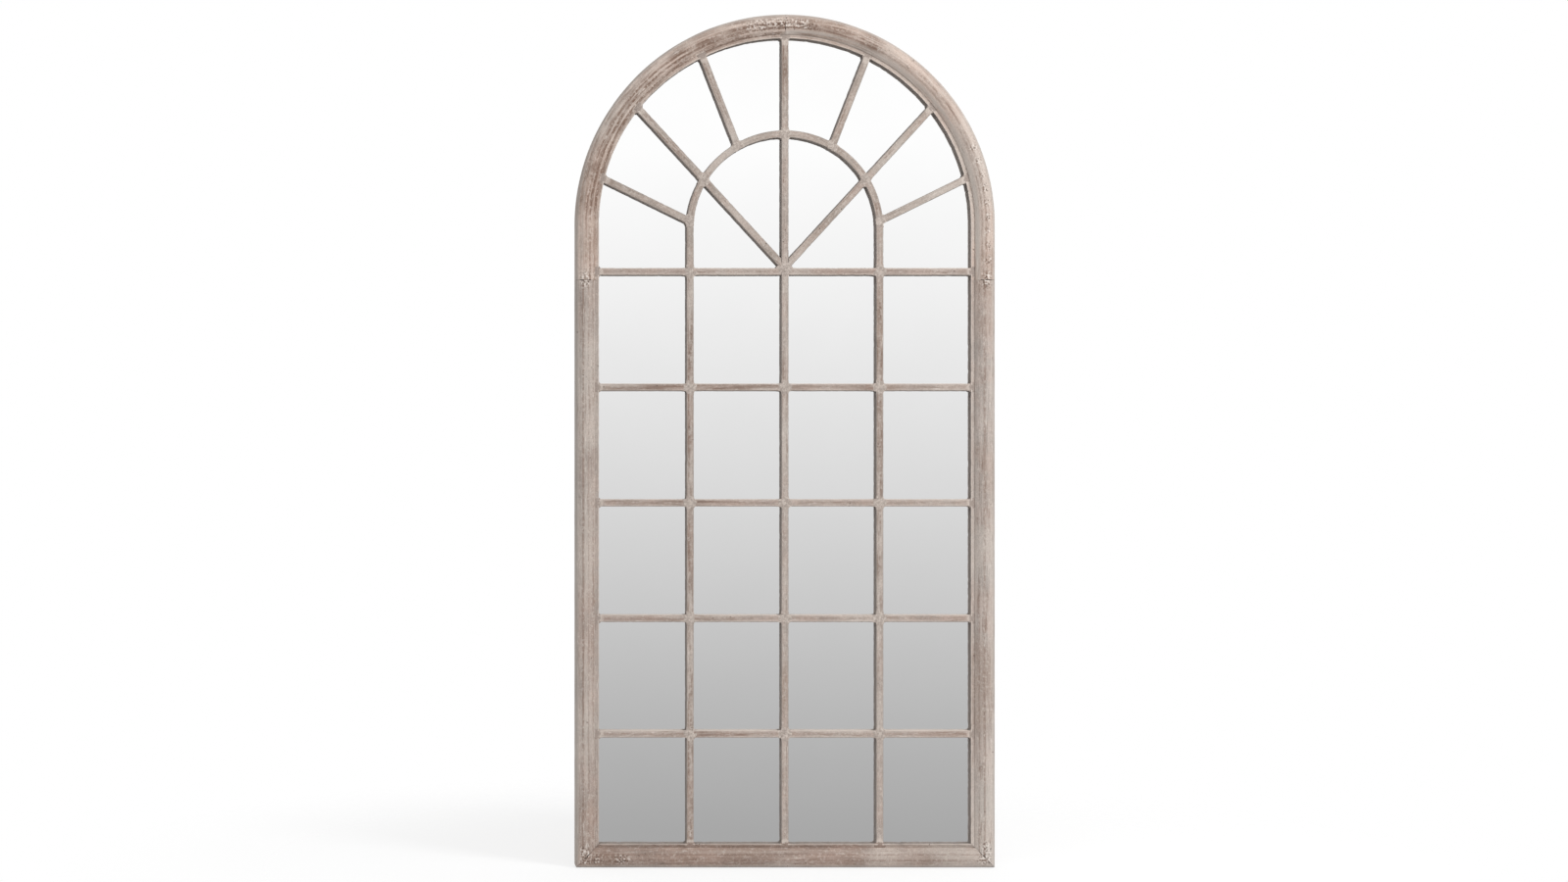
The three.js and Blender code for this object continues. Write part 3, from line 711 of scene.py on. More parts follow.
def moulding_lines(sizes, colours, brown_stripes, grey_stripes, groove_shade_share):
    """Grey rim, stripes as (place, half width, share), a groove darkened by painted shade, pale lip and an inner
    side darkened by painted shade.
    """
    lip = FACE_WIDTH - sizes.lip_width
    roll_end = lip - sizes.groove_width

    def lines(finish, across, depth, colour, broken, streaks):
        rough = finish.math("ADD", finish.attribute("pitted", "Fac"), finish.attribute("rubbed", "Fac"))
        grain = finish.attribute("grain", "Vector")
        long_streaks = finish.noise(finish.stretched(grain, (5, 120, 120)), 1, 4, 0.65)
        rim = finish.mask(across, sizes.rim_width, sizes.rim_width - 4 * MM)
        colour = finish.blend(finish.math("MULTIPLY", rim, 0.6), colour, colours.rim)
        for place, half, share in grey_stripes:
            stripe = band(finish, across, place - half, place + half, half)
            patchy = finish.mask(long_streaks, 0.36, 0.60)
            pale = finish.math("MULTIPLY", finish.math("MULTIPLY", stripe, patchy), share)
            colour = finish.blend(pale, colour, colours.grey_wash)
        for place, half, share in brown_stripes:
            stripe = band(finish, across, place - half, place + half, half)
            ragged = finish.mask(finish.math("ADD", broken, long_streaks), 1.14, 0.92)
            worn_through = finish.math("MULTIPLY", stripe, ragged)
            strength = finish.math("ADD", finish.math("MULTIPLY", rough, 0.45), share)
            strength = finish.math("MINIMUM", finish.math("MULTIPLY", worn_through, strength), 1.0)
            colour = finish.blend(strength, colour, colours.bare_wood)
        # Painted shade: the groove beside the lip is darkened towards bare wood by this share, where the lip would
        # shade it.
        groove = band(finish, across, roll_end, lip - 0.3 * MM, 0.8 * MM)
        colour = finish.blend(finish.math("MULTIPLY", groove, groove_shade_share), colour, colours.bare_wood)
        edge = finish.mask(across, lip - 0.2 * MM, lip + 0.5 * MM)
        colour = finish.blend(finish.math("MULTIPLY", edge, 0.45), colour, colours.filler)
        # Painted shade: the lip's inner side by the mirror gets the dark sides colour.
        inner = finish.mask(across, FACE_WIDTH - 0.7 * MM, FACE_WIDTH - 0.2 * MM)
        under = finish.mask(depth, sizes.lip_height - 0.8 * MM, sizes.lip_height - 2 * MM)
        return finish.blend(finish.math("MULTIPLY", inner, under), colour, colours.sides)

    return lines


# Stripes of each member: place from the outer edge, half width and share, in millimetres.
BROWN_STRIPES = {
    "left_stile": ((16, 1.4, 0.70), (28, 1.0, 0.35), (38, 1.2, 0.40)),
    "right_stile": ((24.5, 2.2, 0.50), (35, 1.2, 0.40)),
    "bottom_rail": ((16.5, 1.8, 0.55), (29, 1.2, 0.45)),
    "left_arch": ((22, 2.4, 0.45), (31, 2.2, 0.60), (41, 3.0, 0.50)),
    "right_arch": ((21, 2.2, 0.40), (29, 1.8, 0.35)),
}
GREY_STRIPES = {
    "left_stile": ((24, 3.0, 0.35), (45, 2.0, 0.30)),
    "right_stile": ((9, 3.0, 0.55), (44, 2.5, 0.35)),
    "bottom_rail": ((34, 3.0, 0.25),),
    "left_arch": ((12, 3.0, 0.30),),
    "right_arch": ((12, 3.0, 0.35), (39, 5.0, 0.90)),
}


def bar_lines(colours, middle_colour, edge_colour, far_side_painted_light):
    """A middle and edges of their own colours, and painted light on the sides: a near side in painted shade, and a
    far side in the colour given for it.
    """
    half = BAR_WIDTH / 2
    front = WOOD_BACK - BAR_FRONT

    def lines(finish, across, depth, colour, broken, streaks):
        middle = band(finish, across, -2.5 * MM, 3.0 * MM, 2.5 * MM)
        middle = finish.math("MULTIPLY", middle, finish.mask(broken, 0.38, 0.62))
        colour = finish.blend(finish.math("MULTIPLY", middle, 0.45), colour, middle_colour)
        distance = finish.add("ShaderNodeMath", {0: across}, operation="ABSOLUTE").outputs[0]
        edge = finish.math("MULTIPLY", finish.mask(distance, half - 3.5 * MM, half - 1.5 * MM), 0.45)
        colour = finish.blend(edge, colour, edge_colour)
        under = finish.mask(depth, front - 0.3 * MM, front - 1.2 * MM)
        # Painted light: each side's colour stands in for how light falls on it, the near side dark as painted
        # shade.
        for sign, side_painted_light in ((-1, colours.sides), (1, far_side_painted_light)):
            side = finish.mask(across, sign * (half - 1.4 * MM), sign * (half - 0.6 * MM))
            colour = finish.blend(finish.math("MULTIPLY", side, under), colour, side_painted_light)
        return colour

    return lines


def filler_finish(colours):
    finish = Finish("joint filler")
    place = finish.place()
    mottle = finish.noise(place, 190, 4, 0.65)
    speckle = finish.noise(place, 520, 3, 0.7)
    colour = finish.blend(finish.mask(mottle, 0.36, 0.70), colours.uprights, colours.filler)
    grit = finish.blend(finish.mask(speckle, 0.32, 0.68), grey(0.76), grey(1.14))
    colour = finish.blend(1.0, colour, grit, "MULTIPLY")
    parts = finish.add("ShaderNodeSeparateXYZ", {0: place}).outputs
    low, height = parts[1], parts[2]
    at_rail = finish.mask(height, FACE_WIDTH + 9 * MM, FACE_WIDTH + 2 * MM)
    moulding = finish.blend(at_rail, colours.left_stile, colours.rail)
    moulding = finish.blend(1.0, moulding, grit, "MULTIPLY")
    colour = finish.blend(finish.attribute("on moulding", "Fac"), colour, moulding)
    # Painted shade: filler lying deeper than the bar fronts is darkened with the dark sides colour.
    shaded = finish.mask(low, BAR_FRONT + 2 * MM, BAR_FRONT + 6 * MM)
    colour = finish.blend(finish.math("MULTIPLY", shaded, 0.8), colour, colours.sides)
    finish.bump(finish.math("ADD", mottle, finish.math("MULTIPLY", speckle, 0.3)), 1.2 * MM, 0.8)
    finish.set(Base_Color=colour, Roughness=0.86, Specular_IOR_Level=0.2)
    return finish.material


def mirror_finish(colours):
    finish = Finish("silvered mirror")
    place = finish.place()
    haze = finish.noise(place, 7, 3)
    dust = finish.noise(place, 420, 2)
    tint = finish.blend(finish.mask(haze, 0.3, 0.7), grey(0.992), grey(1.0))
    finish.bump(finish.noise(place, 3.5, 1), 0.02 * MM, 0.2)
    finish.set(
        Base_Color=finish.blend(1.0, colours.mirror, tint, "MULTIPLY"),
        Metallic=1.0,
        Roughness=finish.math("MULTIPLY", finish.mask(dust, 0.55, 0.9), 0.05),
    )
    return finish.material


def board_finish(colours):
    finish = Finish("hardboard")
    place = finish.place()
    fibres = finish.noise(finish.stretched(place, (1, 1, 1.6)), 520, 4, 0.7)
    clouds = finish.noise(place, 7, 5, 0.65)
    flakes = finish.noise(finish.stretched(place, (1, 1, 1.3)), 120, 4, 0.7)
    colour = finish.blend(1.0, colours.hardboard, finish.blend(fibres, grey(0.72), grey(1.24)), "MULTIPLY")
    colour = finish.blend(1.0, colour, finish.blend(clouds, grey(0.70), grey(1.30)), "MULTIPLY")
    colour = finish.blend(finish.math("MULTIPLY", finish.mask(flakes, 0.56, 0.74), 0.45), colour, colours.raw_back)
    finish.bump(fibres, 0.5 * MM, 0.6)
    finish.set(Base_Color=colour, Roughness=finish.mask(fibres, 1.6, -0.2), Specular_IOR_Level=0.25)
    return finish.material


def steel_finish(colours):
    finish = Finish("zinc plated steel")
    place = finish.place()
    spangle = finish.cells(place, 260)
    scuffs = finish.noise(finish.stretched(place, (1, 1, 7)), 300, 3)
    stain = finish.noise(place, 60, 3)
    colour = finish.blend(1.0, colours.steel, finish.blend(spangle, grey(0.80), grey(1.1)), "MULTIPLY")
    colour = finish.blend(
        finish.math("MULTIPLY", finish.mask(stain, 0.55, 0.75), 0.4), colour, paint(138, 124, 108)
    )
    finish.bump(scuffs, 0.1 * MM, 0.4)
    roughness = finish.math("ADD", finish.math("MULTIPLY", scuffs, 0.3), 0.24)
    finish.set(Base_Color=colour, Metallic=1.0, Roughness=roughness)
    return finish.material


def felt_finish(colours):
    finish = Finish("felt")
    place = finish.place()
    hairs = finish.noise(finish.stretched(place, (1, 0.4, 1)), 1500, 4, 0.75)
    clumps = finish.noise(place, 240, 3)
    colour = finish.blend(1.0, colours.felt, finish.blend(hairs, grey(0.6), grey(1.4)), "MULTIPLY")
    colour = finish.blend(1.0, colour, finish.blend(clumps, grey(0.85), grey(1.12)), "MULTIPLY")
    finish.bump(finish.math("ADD", hairs, clumps), 0.6 * MM, 0.9)
    finish.set(Base_Color=colour, Roughness=0.97, Specular_IOR_Level=0.1, Sheen_Weight=0.3)
    return finish.material


def tongue_finish():
    """The beech tongues inside the joints."""
    finish = Finish("beech tongue")
    place = finish.place()
    rays = finish.noise(finish.stretched(place, (60, 400, 60)), 1, 4)
    flecks = finish.mask(finish.cells(finish.stretched(place, (120, 300, 500)), 1), 0.3, 0.1)
    colour = finish.blend(rays, paint(176, 134, 96), paint(206, 168, 128))
    colour = finish.blend(finish.math("MULTIPLY", flecks, 0.5), colour, paint(140, 96, 66))
    finish.bump(rays, 0.3 * MM, 0.5)
    finish.set(Base_Color=colour, Roughness=finish.math("ADD", finish.math("MULTIPLY", rays, 0.2), 0.6))
    return finish.material


# ---------------------------------------------------------------- operators


class MirrorOperator(bpy.types.Operator):
    """Shared ways into the sizes and colours"""

    bl_idname = "window_mirror.base"
    bl_label = "Base"

    @property
    def sizes(self):
        return bpy.context.scene.mirror_sizes

    @property
    def colours(self):
        return bpy.context.scene.mirror_colours


class BuildFrameMoulding(MirrorOperator):
    """Models the stiles, the bottom rail and the two arched members"""

    bl_idname = "window_mirror.frame_moulding"
    bl_label = "Frame moulding"

    def stile(self, outline):
        sizes = self.sizes
        piece = outlined("right_stile_wood", placed(outline, (HALF_WIDTH, 0, 0), -RIGHT))
        lengthen(piece, UP, STILE_BOX[1].z, sizes.ring_step)
        trim((HALF_WIDTH, 0, SEAM), (-1, 0, -1))
        self.round_corner((15, 35))
        return close_up(piece)

    def round_corner(self, degrees):
        """Planes on the corner's circle, at angles below the X axis."""
        radius = self.sizes.corner_radius
        middle = Vector((HALF_WIDTH - radius, 0, radius))
        for angle in map(math.radians, degrees):
            normal = Vector((math.cos(angle), 0, -math.sin(angle)))
            trim(middle + normal * radius, normal)

    def rail(self, outline):
        sizes = self.sizes
        piece = outlined("bottom_rail_wood", placed(outline, (-HALF_WIDTH, 0, 0), UP))
        lengthen(piece, RIGHT, 2 * HALF_WIDTH, sizes.ring_step)
        self.round_corner((55, 75))
        trim((HALF_WIDTH - SEAM, 0, 0), (1, 0, 1))
        trim((SEAM - HALF_WIDTH, 0, 0), (-1, 0, 1))
        radius = sizes.corner_radius
        middle = Vector((radius - HALF_WIDTH, 0, radius))
        for angle in map(math.radians, (55, 75)):
            normal = Vector((-math.cos(angle), 0, -math.sin(angle)))
            trim(middle + normal * radius, normal)
        return close_up(piece)

    def arch(self, outline):
        sizes = self.sizes
        foot = STILE_BOX[1].z + SEAM
        piece = outlined("right_arch_wood", placed(outline, (HALF_WIDTH, 0, foot), -RIGHT))
        lengthen(piece, UP, SPRING - foot, sizes.ring_step)
        bend(SPRING, math.pi / 2 - SEAM / SIGHT, HALF_WIDTH, sizes.ring_step)
        return close_up(piece)

    def lines(self, node, groove_shade_share):
        brown, grey_ones = (
            [(place * MM, half * MM, share) for place, half, share in stripes[node]]
            for stripes in (BROWN_STRIPES, GREY_STRIPES)
        )
        return moulding_lines(self.sizes, self.colours, brown, grey_ones, groove_shade_share)

    def mark(self, piece, offset):
        points = points_of(piece)
        x, z = np.abs(points[:, 0]), points[:, 2]
        turned = z > SPRING
        radius = np.where(turned, np.hypot(x, z - SPRING), x)
        angle = np.where(turned, np.arctan2(z - SPRING, x), 0)
        mark_grain(piece, np.minimum(z, SPRING) + angle * HALF_WIDTH + offset, HALF_WIDTH - radius)

    def execute(self, context):
        sizes, colours = self.sizes, self.colours
        outline = moulding_outline(sizes, sizes.clogged_height)
        textures = wear_textures()
        right_stile, right_arch = self.stile(outline), self.arch(outline)
        rail = self.rail(moulding_outline(sizes, sizes.groove_height))
        members = {
            "left_stile": (mirrored(right_stile, "left_stile_wood"), colours.left_stile),
            "right_stile": (right_stile, colours.right_stile),
            "left_arch": (mirrored(right_arch, "left_arch_wood"), colours.arch),
            "right_arch": (right_arch, colours.arch),
        }
        arrises = (sizes.rim_width, FACE_WIDTH - sizes.lip_width / 2)
        mark_grain(rail, points_of(rail)[:, 0], points_of(rail)[:, 2])
        worn(rail, sizes, textures, arrises, 6 * MM, sizes.undulation, sizes.chipping)
        # Painted shade in the rail's groove, which the lip above would shade.
        wood = washed_wood("washed rail", colours.rail, colours, self.lines("bottom_rail", 0.1))
        dress(rail, wood, "washed_wood", "frame", "bottom_rail")
        for offset, (node, (piece, wash)) in enumerate(members.items(), start=1):
            self.mark(piece, 3.0 * offset)
            worn(piece, sizes, textures, arrises, 6 * MM, sizes.undulation, sizes.chipping)
            wood = washed_wood(f"washed {node.replace('_', ' ')}", wash, colours, self.lines(node, 0.0))
            dress(piece, wood, "washed_wood", "frame", node)
        return {"FINISHED"}


class BuildGlazingBars(MirrorOperator):
    """Models the upright bars and the cross bars, half-lapped where they meet"""

    bl_idname = "window_mirror.glazing_bars"
    bl_label = "Glazing bars"

    def bar(self, name, outline, start, direction, across_axis, distance):
        piece = outlined(name, placed(outline, start, across_axis))
        lengthen(piece, direction, distance, self.sizes.ring_step)
        return close_up(piece)

    def lower_laps(self, piece, columns):
        """Sinks the front of a cross bar to the lap level where an upright passes over it."""
        lap = (BAR_FRONT + BAR_BACK) / 2
        reach = BAR_WIDTH / 2 - 0.4 * MM
        activate(piece)
        for column in columns:
            select_points(piece, lambda point: abs(point.x - column) < reach and point.y < lap)
            bpy.ops.transform.resize(value=(1, 0, 1), center_override=(0, lap, 0))
        bpy.ops.object.mode_set(mode="OBJECT")

    def finish(self, piece, node, wood, textures):
        sizes = self.sizes
        arrises = (-BAR_WIDTH / 2, BAR_WIDTH / 2)
        worn(piece, sizes, textures, arrises, 3 * MM, sizes.bar_undulation, sizes.bar_chipping)
        dress(piece, wood, "washed_wood", "frame", node)

    def uprights(self, outline):
        """The two side uprights, copied from one, and the taller middle one, from left to right."""
        foot = FACE_WIDTH + FIT
        start = Vector((0, 0, foot))
        top = FAN_BASE - BAR_WIDTH / 2
        pattern = self.bar("upright_bar_pattern", outline, start, UP, RIGHT, top - FIT - foot)
        places = [(f"upright_bar_{i}_wood", (BAR_COLUMNS[i - 1], 0, 0)) for i in (1, 3)]
        left, right = set_out(pattern, places)
        top = INNER_CENTRE + INNER_RADIUS - BAR_WIDTH / 2
        middle = self.bar("upright_bar_2_wood", outline, start, UP, RIGHT, top - FIT - foot)
        return left, middle, right

    def cross_bars(self, outline):
        """Five copies of one bar, with their laps, from the lowest to the highest."""
        start = Vector((FIT - SIGHT, 0, 0))
        pattern = self.bar("cross_bar_pattern", outline, start, RIGHT, UP, 2 * (SIGHT - FIT))
        bars = set_out(pattern, [(f"cross_bar_{i}_wood", (0, 0, z)) for i, z in enumerate(BAR_ROWS, 1)])
        for piece in bars[:-1]:
            self.lower_laps(piece, BAR_COLUMNS)
        self.lower_laps(bars[-1], BAR_COLUMNS[1:2])
        return bars

    def execute(self, context):
        colours = self.colours
        outline = bar_outline(self.sizes)
        textures = wear_textures()
        # Painted shade: both sides of the uprights get the dark sides colour.
        lines = bar_lines(colours, colours.grey_wash, colours.rim, colours.sides)
        wood = washed_wood("washed upright bars", colours.uprights, colours, lines)
        for i, piece in enumerate(self.uprights(outline), start=1):
            mark_straight(piece, (BAR_COLUMNS[i - 1], 0, FACE_WIDTH), UP, RIGHT, 2.0 * i)
            self.finish(piece, f"upright_bar_{i}", wood, textures)
        # Painted light: the cross bars' top sides get the pale filler colour as if lit from above; their
        # undersides get the dark sides colour as painted shade.
        lines = bar_lines(colours, colours.bare_wood, colours.filler, colours.filler)
        wood = washed_wood("washed cross bars", colours.cross_bars, colours, lines)
        for i, piece in enumerate(self.cross_bars(outline), start=1):
            mark_straight(piece, (-SIGHT, 0, BAR_ROWS[i - 1]), RIGHT, UP, 20 + 2.0 * i)
            self.finish(piece, f"cross_bar_{i}", wood, textures)
        return {"FINISHED"}


class BuildFan(MirrorOperator):
    """Models the inner arch and the spokes that fan out from the hub"""

    bl_idname = "window_mirror.fan"
    bl_label = "Fan"

    def inner_arch(self, outline):
        step = self.sizes.ring_step
        foot = TOP_BAR_BOX[1].z + FIT
        piece = outlined("inner_arch_wood", placed(outline, (INNER_RADIUS, 0, foot), RIGHT))
        lengthen(piece, UP, INNER_CENTRE - foot, step)
        bend(INNER_CENTRE, math.pi, INNER_RADIUS, step)
        select_faces(
            piece,
            lambda centre, normal: abs(normal.z) > 0.9
            and centre.x < 0
            and abs(centre.z - INNER_CENTRE) < MM,
        )
        lengthen(piece, -UP, INNER_CENTRE - foot, step)
        return close_up(piece)

    def mark_arch(self, piece):
        points = points_of(piece)
        x, z = points[:, 0], points[:, 2]
        turned = z > INNER_CENTRE
        radius = np.where(turned, np.hypot(x, z - INNER_CENTRE), np.abs(x))
        angle = np.where(turned, np.arctan2(z - INNER_CENTRE, x), np.where(x > 0, 0, math.pi))
        mark_grain(piece, 60 + angle * INNER_RADIUS + z * 0.2, radius - INNER_RADIUS)

    def axes(self, angle):
        """Along a spoke, and across it."""
        return (
            Vector((math.cos(angle), 0, math.sin(angle))),
            Vector((math.sin(angle), 0, -math.cos(angle))),
        )

    def spoke(self, name, outline, angle, reach, planes):
        """A straight bar at an angle, between two distances from the hub, trimmed at planes."""
        direction, across_axis = self.axes(angle)
        piece = outlined(name, placed(outline, HUB + direction * reach[0], across_axis))
        lengthen(piece, direction, reach[1] - reach[0], self.sizes.ring_step)
        for point, normal in planes:
            trim(point, normal)
        return close_up(piece)

    def arch_plane(self, angle, radius, centre_height, sign):
        """A plane that touches an arch where a spoke meets it. sign 1 cuts what lies beyond."""
        hit = arch_hit(angle, radius, centre_height)
        normal = (hit - Vector((0, 0, centre_height))).normalized() * sign
        return hit, normal

    def execute(self, context):
        sizes, colours = self.sizes, self.colours
        outline = bar_outline(sizes)
        textures = wear_textures()
        half = BAR_WIDTH / 2
        # Painted shade: both sides of the inner arch and the spokes get the dark sides colour.
        lines = bar_lines(colours, colours.grey_wash, colours.rim, colours.sides)
        wood = washed_wood("washed fan", colours.fan, colours, lines)
        spokes = {}
        for i, angle in enumerate(SPOKE_ANGLES[:4], start=1):
            planes = [
                self.arch_plane(angle, INNER_RADIUS + half + FIT, INNER_CENTRE, -1),
                self.arch_plane(angle, SIGHT - FIT, SPRING, 1),
            ]
            ends = [(point - HUB).length for point, _ in planes]
            reach = (ends[0] - half, ends[1] + half)
            piece = self.spoke(f"outer_spoke_{i}_wood", outline, angle, reach, planes)
            spokes[f"outer_spoke_{i}"] = (piece, angle)
        for i in (5, 6, 7):
            twin = spokes[f"outer_spoke_{8 - i}"][0]
            spokes[f"outer_spoke_{i}"] = (mirrored(twin, f"outer_spoke_{i}_wood"), SPOKE_ANGLES[i - 1])
        right, left = INNER_SPOKE_ANGLES
        planes = [
            (Vector((half + FIT, 0, 0)), -RIGHT),
            (Vector((0, 0, TOP_BAR_BOX[1].z + FIT)), -UP),
            self.arch_plane(right, INNER_RADIUS - half - FIT, INNER_CENTRE, 1),
        ]
        reach = (0, (planes[-1][0] - HUB).length + half)
        piece = self.spoke("inner_spoke_1_wood", outline, right, reach, planes)
        spokes["inner_spoke_1"] = (piece, right)
        spokes["inner_spoke_2"] = (mirrored(piece, "inner_spoke_2_wood"), left)
        for i, (piece, angle) in enumerate(spokes.values(), start=1):
            mark_straight(piece, HUB, *self.axes(angle), 70 + 2.0 * i)
        arch = self.inner_arch(outline)
        self.mark_arch(arch)
        pieces = {"inner_arch": arch, **{node: piece for node, (piece, _) in spokes.items()}}
        for node, piece in pieces.items():
            arrises = (-half, half)
            worn(piece, sizes, textures, arrises, 3 * MM, sizes.bar_undulation, sizes.bar_chipping)
            dress(piece, wood, "washed_wood", "frame", node)
        return {"FINISHED"}


class BuildJointFiller(MirrorOperator):
    """Models the pale filler that covers the crossings and flares into the corners"""

    bl_idname = "window_mirror.joint_filler"
    bl_label = "Joint filler"

    def joints(self):
        """Every kind of joint as (arm angles, reach, centres)."""
        reach = self.sizes.filler_reach
        square = [0, math.pi / 2, math.pi, 3 * math.pi / 2]
        crossings = [(x, z) for x in BAR_COLUMNS for z in BAR_ROWS if (x, z) != (0, FAN_BASE)]
        joints = [(square, reach, crossings)]
        joints.append(([*square, *INNER_SPOKE_ANGLES], 0.95 * reach, [(0, FAN_BASE + HUB_RISE / 3)]))
        inset = BAR_WIDTH / 2 - self.sizes.filler_web
        foot = inset + self.sizes.filler_foot
        for side, inwards in ((-1, 0), (1, math.pi)):
            arms = [inwards, math.pi / 2, -math.pi / 2]
            joints.append((arms, foot, [(side * (SIGHT + inset), z) for z in BAR_ROWS]))
        joints.append(([math.pi / 2, 0, math.pi], foot, [(x, FACE_WIDTH - inset) for x in BAR_COLUMNS]))
        for angle in SPOKE_ANGLES:
            inner = arch_hit(angle, INNER_RADIUS, INNER_CENTRE)
            outer = arch_hit(angle, SIGHT, SPRING)
            turn = math.atan2(inner.z - INNER_CENTRE, inner.x)
            arms = [angle, turn + math.pi / 2, turn - math.pi / 2]
            if angle in INNER_SPOKE_ANGLES or abs(angle - math.pi / 2) < 0.01:
                arms.append(angle + math.pi)
            joints.append((arms, 0.9 * reach, [(inner.x, inner.z)]))
            turn = math.atan2(outer.z - SPRING, outer.x)
            arms = [angle + math.pi, turn + math.pi / 2, turn - math.pi / 2]
            outer = HUB + (outer - HUB) * (1 + inset / (outer - HUB).length)
            joints.append((arms, foot, [(outer.x, outer.z)]))
        return joints

    def reach_at(self, angle, arms, reach):
        """How far the filler runs at an angle: along the arms, with rounded corners between."""
        half = BAR_WIDTH / 2 - 0.2 * MM
        total = 0
        for arm in arms:
            turn = (angle - arm + math.pi) % (2 * math.pi) - math.pi
            if abs(turn) < math.pi / 2:
                total += min(reach, half / max(abs(math.sin(turn)), 0.01)) ** 5
        return max(total**0.2, 0.6 * half)

    def plug(self, arms, reach):
        """A plug of filler round the Y axis."""
        rise, points = self.sizes.filler_rise, 72
        outline = []
        for i in range(points):
            angle = 2 * math.pi * i / points
            far = self.reach_at(angle, arms, reach) * (1 + 0.05 * math.sin(7 * angle + 1))
            outline.append(Vector((far * math.cos(angle), BAR_BACK - FIT, far * math.sin(angle))))
        piece = outlined("filler_pattern", outline)
        sunk = 0.5 * MM
        lengthen(piece, Vector((0, -1, 0)), BAR_BACK - FIT - BAR_FRONT - sunk, 3 * MM)
        for scale, lift in ((0.9, 0.3 * sunk), (0.9, 0.7 * sunk), (0.8, rise / 2), (0.7, rise / 2), (0.5, 0)):
            bpy.ops.mesh.extrude_region_move(TRANSFORM_OT_translate={"value": (0, -lift, 0)})
            bpy.ops.transform.resize(value=(scale, 1, scale), center_override=(0, 0, 0))
        return close_up(piece)

    def mark(self, piece):
        """Keeps how near each point of the filler lies to the moulding."""
        points = points_of(piece)
        x, z = np.abs(points[:, 0]), points[:, 2]
        radius = np.where(z > SPRING, np.hypot(x, z - SPRING), x)
        inside = np.minimum(SIGHT - radius, z - FACE_WIDTH)
        store(piece, "on moulding", np.clip(1 - inside / (8 * MM), 0, 1))

    def execute(self, context):
        textures = wear_textures()
        plugs = []
        for arms, reach, centres in self.joints():
            plugs += set_out(self.plug(arms, reach), [("filler", (x, 0, z)) for x, z in centres])
        activate(plugs[0])
        for plug in plugs:
            plug.select_set(True)
        bpy.ops.object.join()
        piece = bpy.context.object
        piece.name = piece.data.name = "joint_filler"
        common = {"texture_coords": "LOCAL", "mid_level": 1.0}
        apply_modifier(piece, "DISPLACE", texture=textures["chips"], strength=0.7 * MM, **common)
        smooth(piece, 50)
        self.mark(piece)
        dress(piece, filler_finish(self.colours), "washed_wood", "frame")
        return {"FINISHED"}


class BuildScrews(MirrorOperator):
    """Models one cross-slotted pan-head screw and sets a copy in every screw's place"""

    bl_idname = "window_mirror.screws"
    bl_label = "Screws"

    def screw(self, name, head_radius, shank_radius, tip, seat, crown):
        """A screw on the Y axis: its tip, the seat of its head and the crown of its head."""
        deselect()
        bpy.ops.mesh.primitive_cylinder_add(
            vertices=24, radius=shank_radius, depth=seat - tip, rotation=(math.pi / 2, 0, 0)
        )
        piece = bpy.context.object
        piece.name = piece.data.name = name
        piece.location = (0, (seat + tip) / 2, 0)
        bpy.ops.object.transform_apply(location=True, rotation=True)
        select_faces(piece, lambda middle, normal: normal.y > 0.9)
        widen = head_radius / shank_radius
        pivot = (0, seat, 0)
        bpy.ops.mesh.extrude_region_move()
        bpy.ops.transform.resize(value=(widen, 1, widen), center_override=pivot)
        rise = crown - seat
        for share, scale in ((0.35, 1.0), (0.35, 0.9), (0.2, 0.78), (0.1, 0.68)):
            bpy.ops.mesh.extrude_region_move(TRANSFORM_OT_translate={"value": (0, rise * share, 0)})
            bpy.ops.transform.resize(value=(scale, 1, scale), center_override=pivot)
        select_faces(piece, lambda middle, normal: normal.y < -0.9 and middle.y < tip + 0.1 * MM)
        bpy.ops.transform.resize(value=(0.15, 1, 0.15), center_override=(0, tip, 0))
        close_up(piece)
        for turn in (0, math.pi / 2):
            self.slot(piece, head_radius, crown, rise, turn)
        return piece

    def slot(self, piece, head_radius, crown, rise, turn):
        """Cuts one bar of the cross slot."""
        deselect()
        bpy.ops.mesh.primitive_cube_add(size=1, location=(0, crown, 0))
        cutter = bpy.context.object
        cutter.scale = (1.25 * head_radius, 1.2 * rise, 0.24 * head_radius)
        cutter.rotation_euler = (0, turn + 0.4, 0)
        bpy.ops.object.transform_apply(rotation=True, scale=True, location=True)
        apply_modifier(piece, "BOOLEAN", object=cutter, operation="DIFFERENCE", solver="EXACT")
        bpy.data.objects.remove(cutter)

    def execute(self, context):
        steel = steel_finish(self.colours)
        for kind in ("board_screw", "hanger_screw"):
            nodes = sorted(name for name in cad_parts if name.startswith(kind))
            low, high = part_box(nodes[0])
            head = (high.x - low.x) / 2
            rise = 0.314 * 2 * head
            pattern = self.screw(f"{kind}_pattern", head, head / 2, low.y, high.y - rise, high.y)
            smooth(pattern, 30)
            places = []
            for node in nodes:
                low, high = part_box(node)
                places.append((f"{node}_steel", ((low.x + high.x) / 2, 0, (low.z + high.z) / 2)))
            for node, piece in zip(nodes, set_out(pattern, places)):
                dress(piece, steel, "zinc", "frame", node)
        return {"FINISHED"}


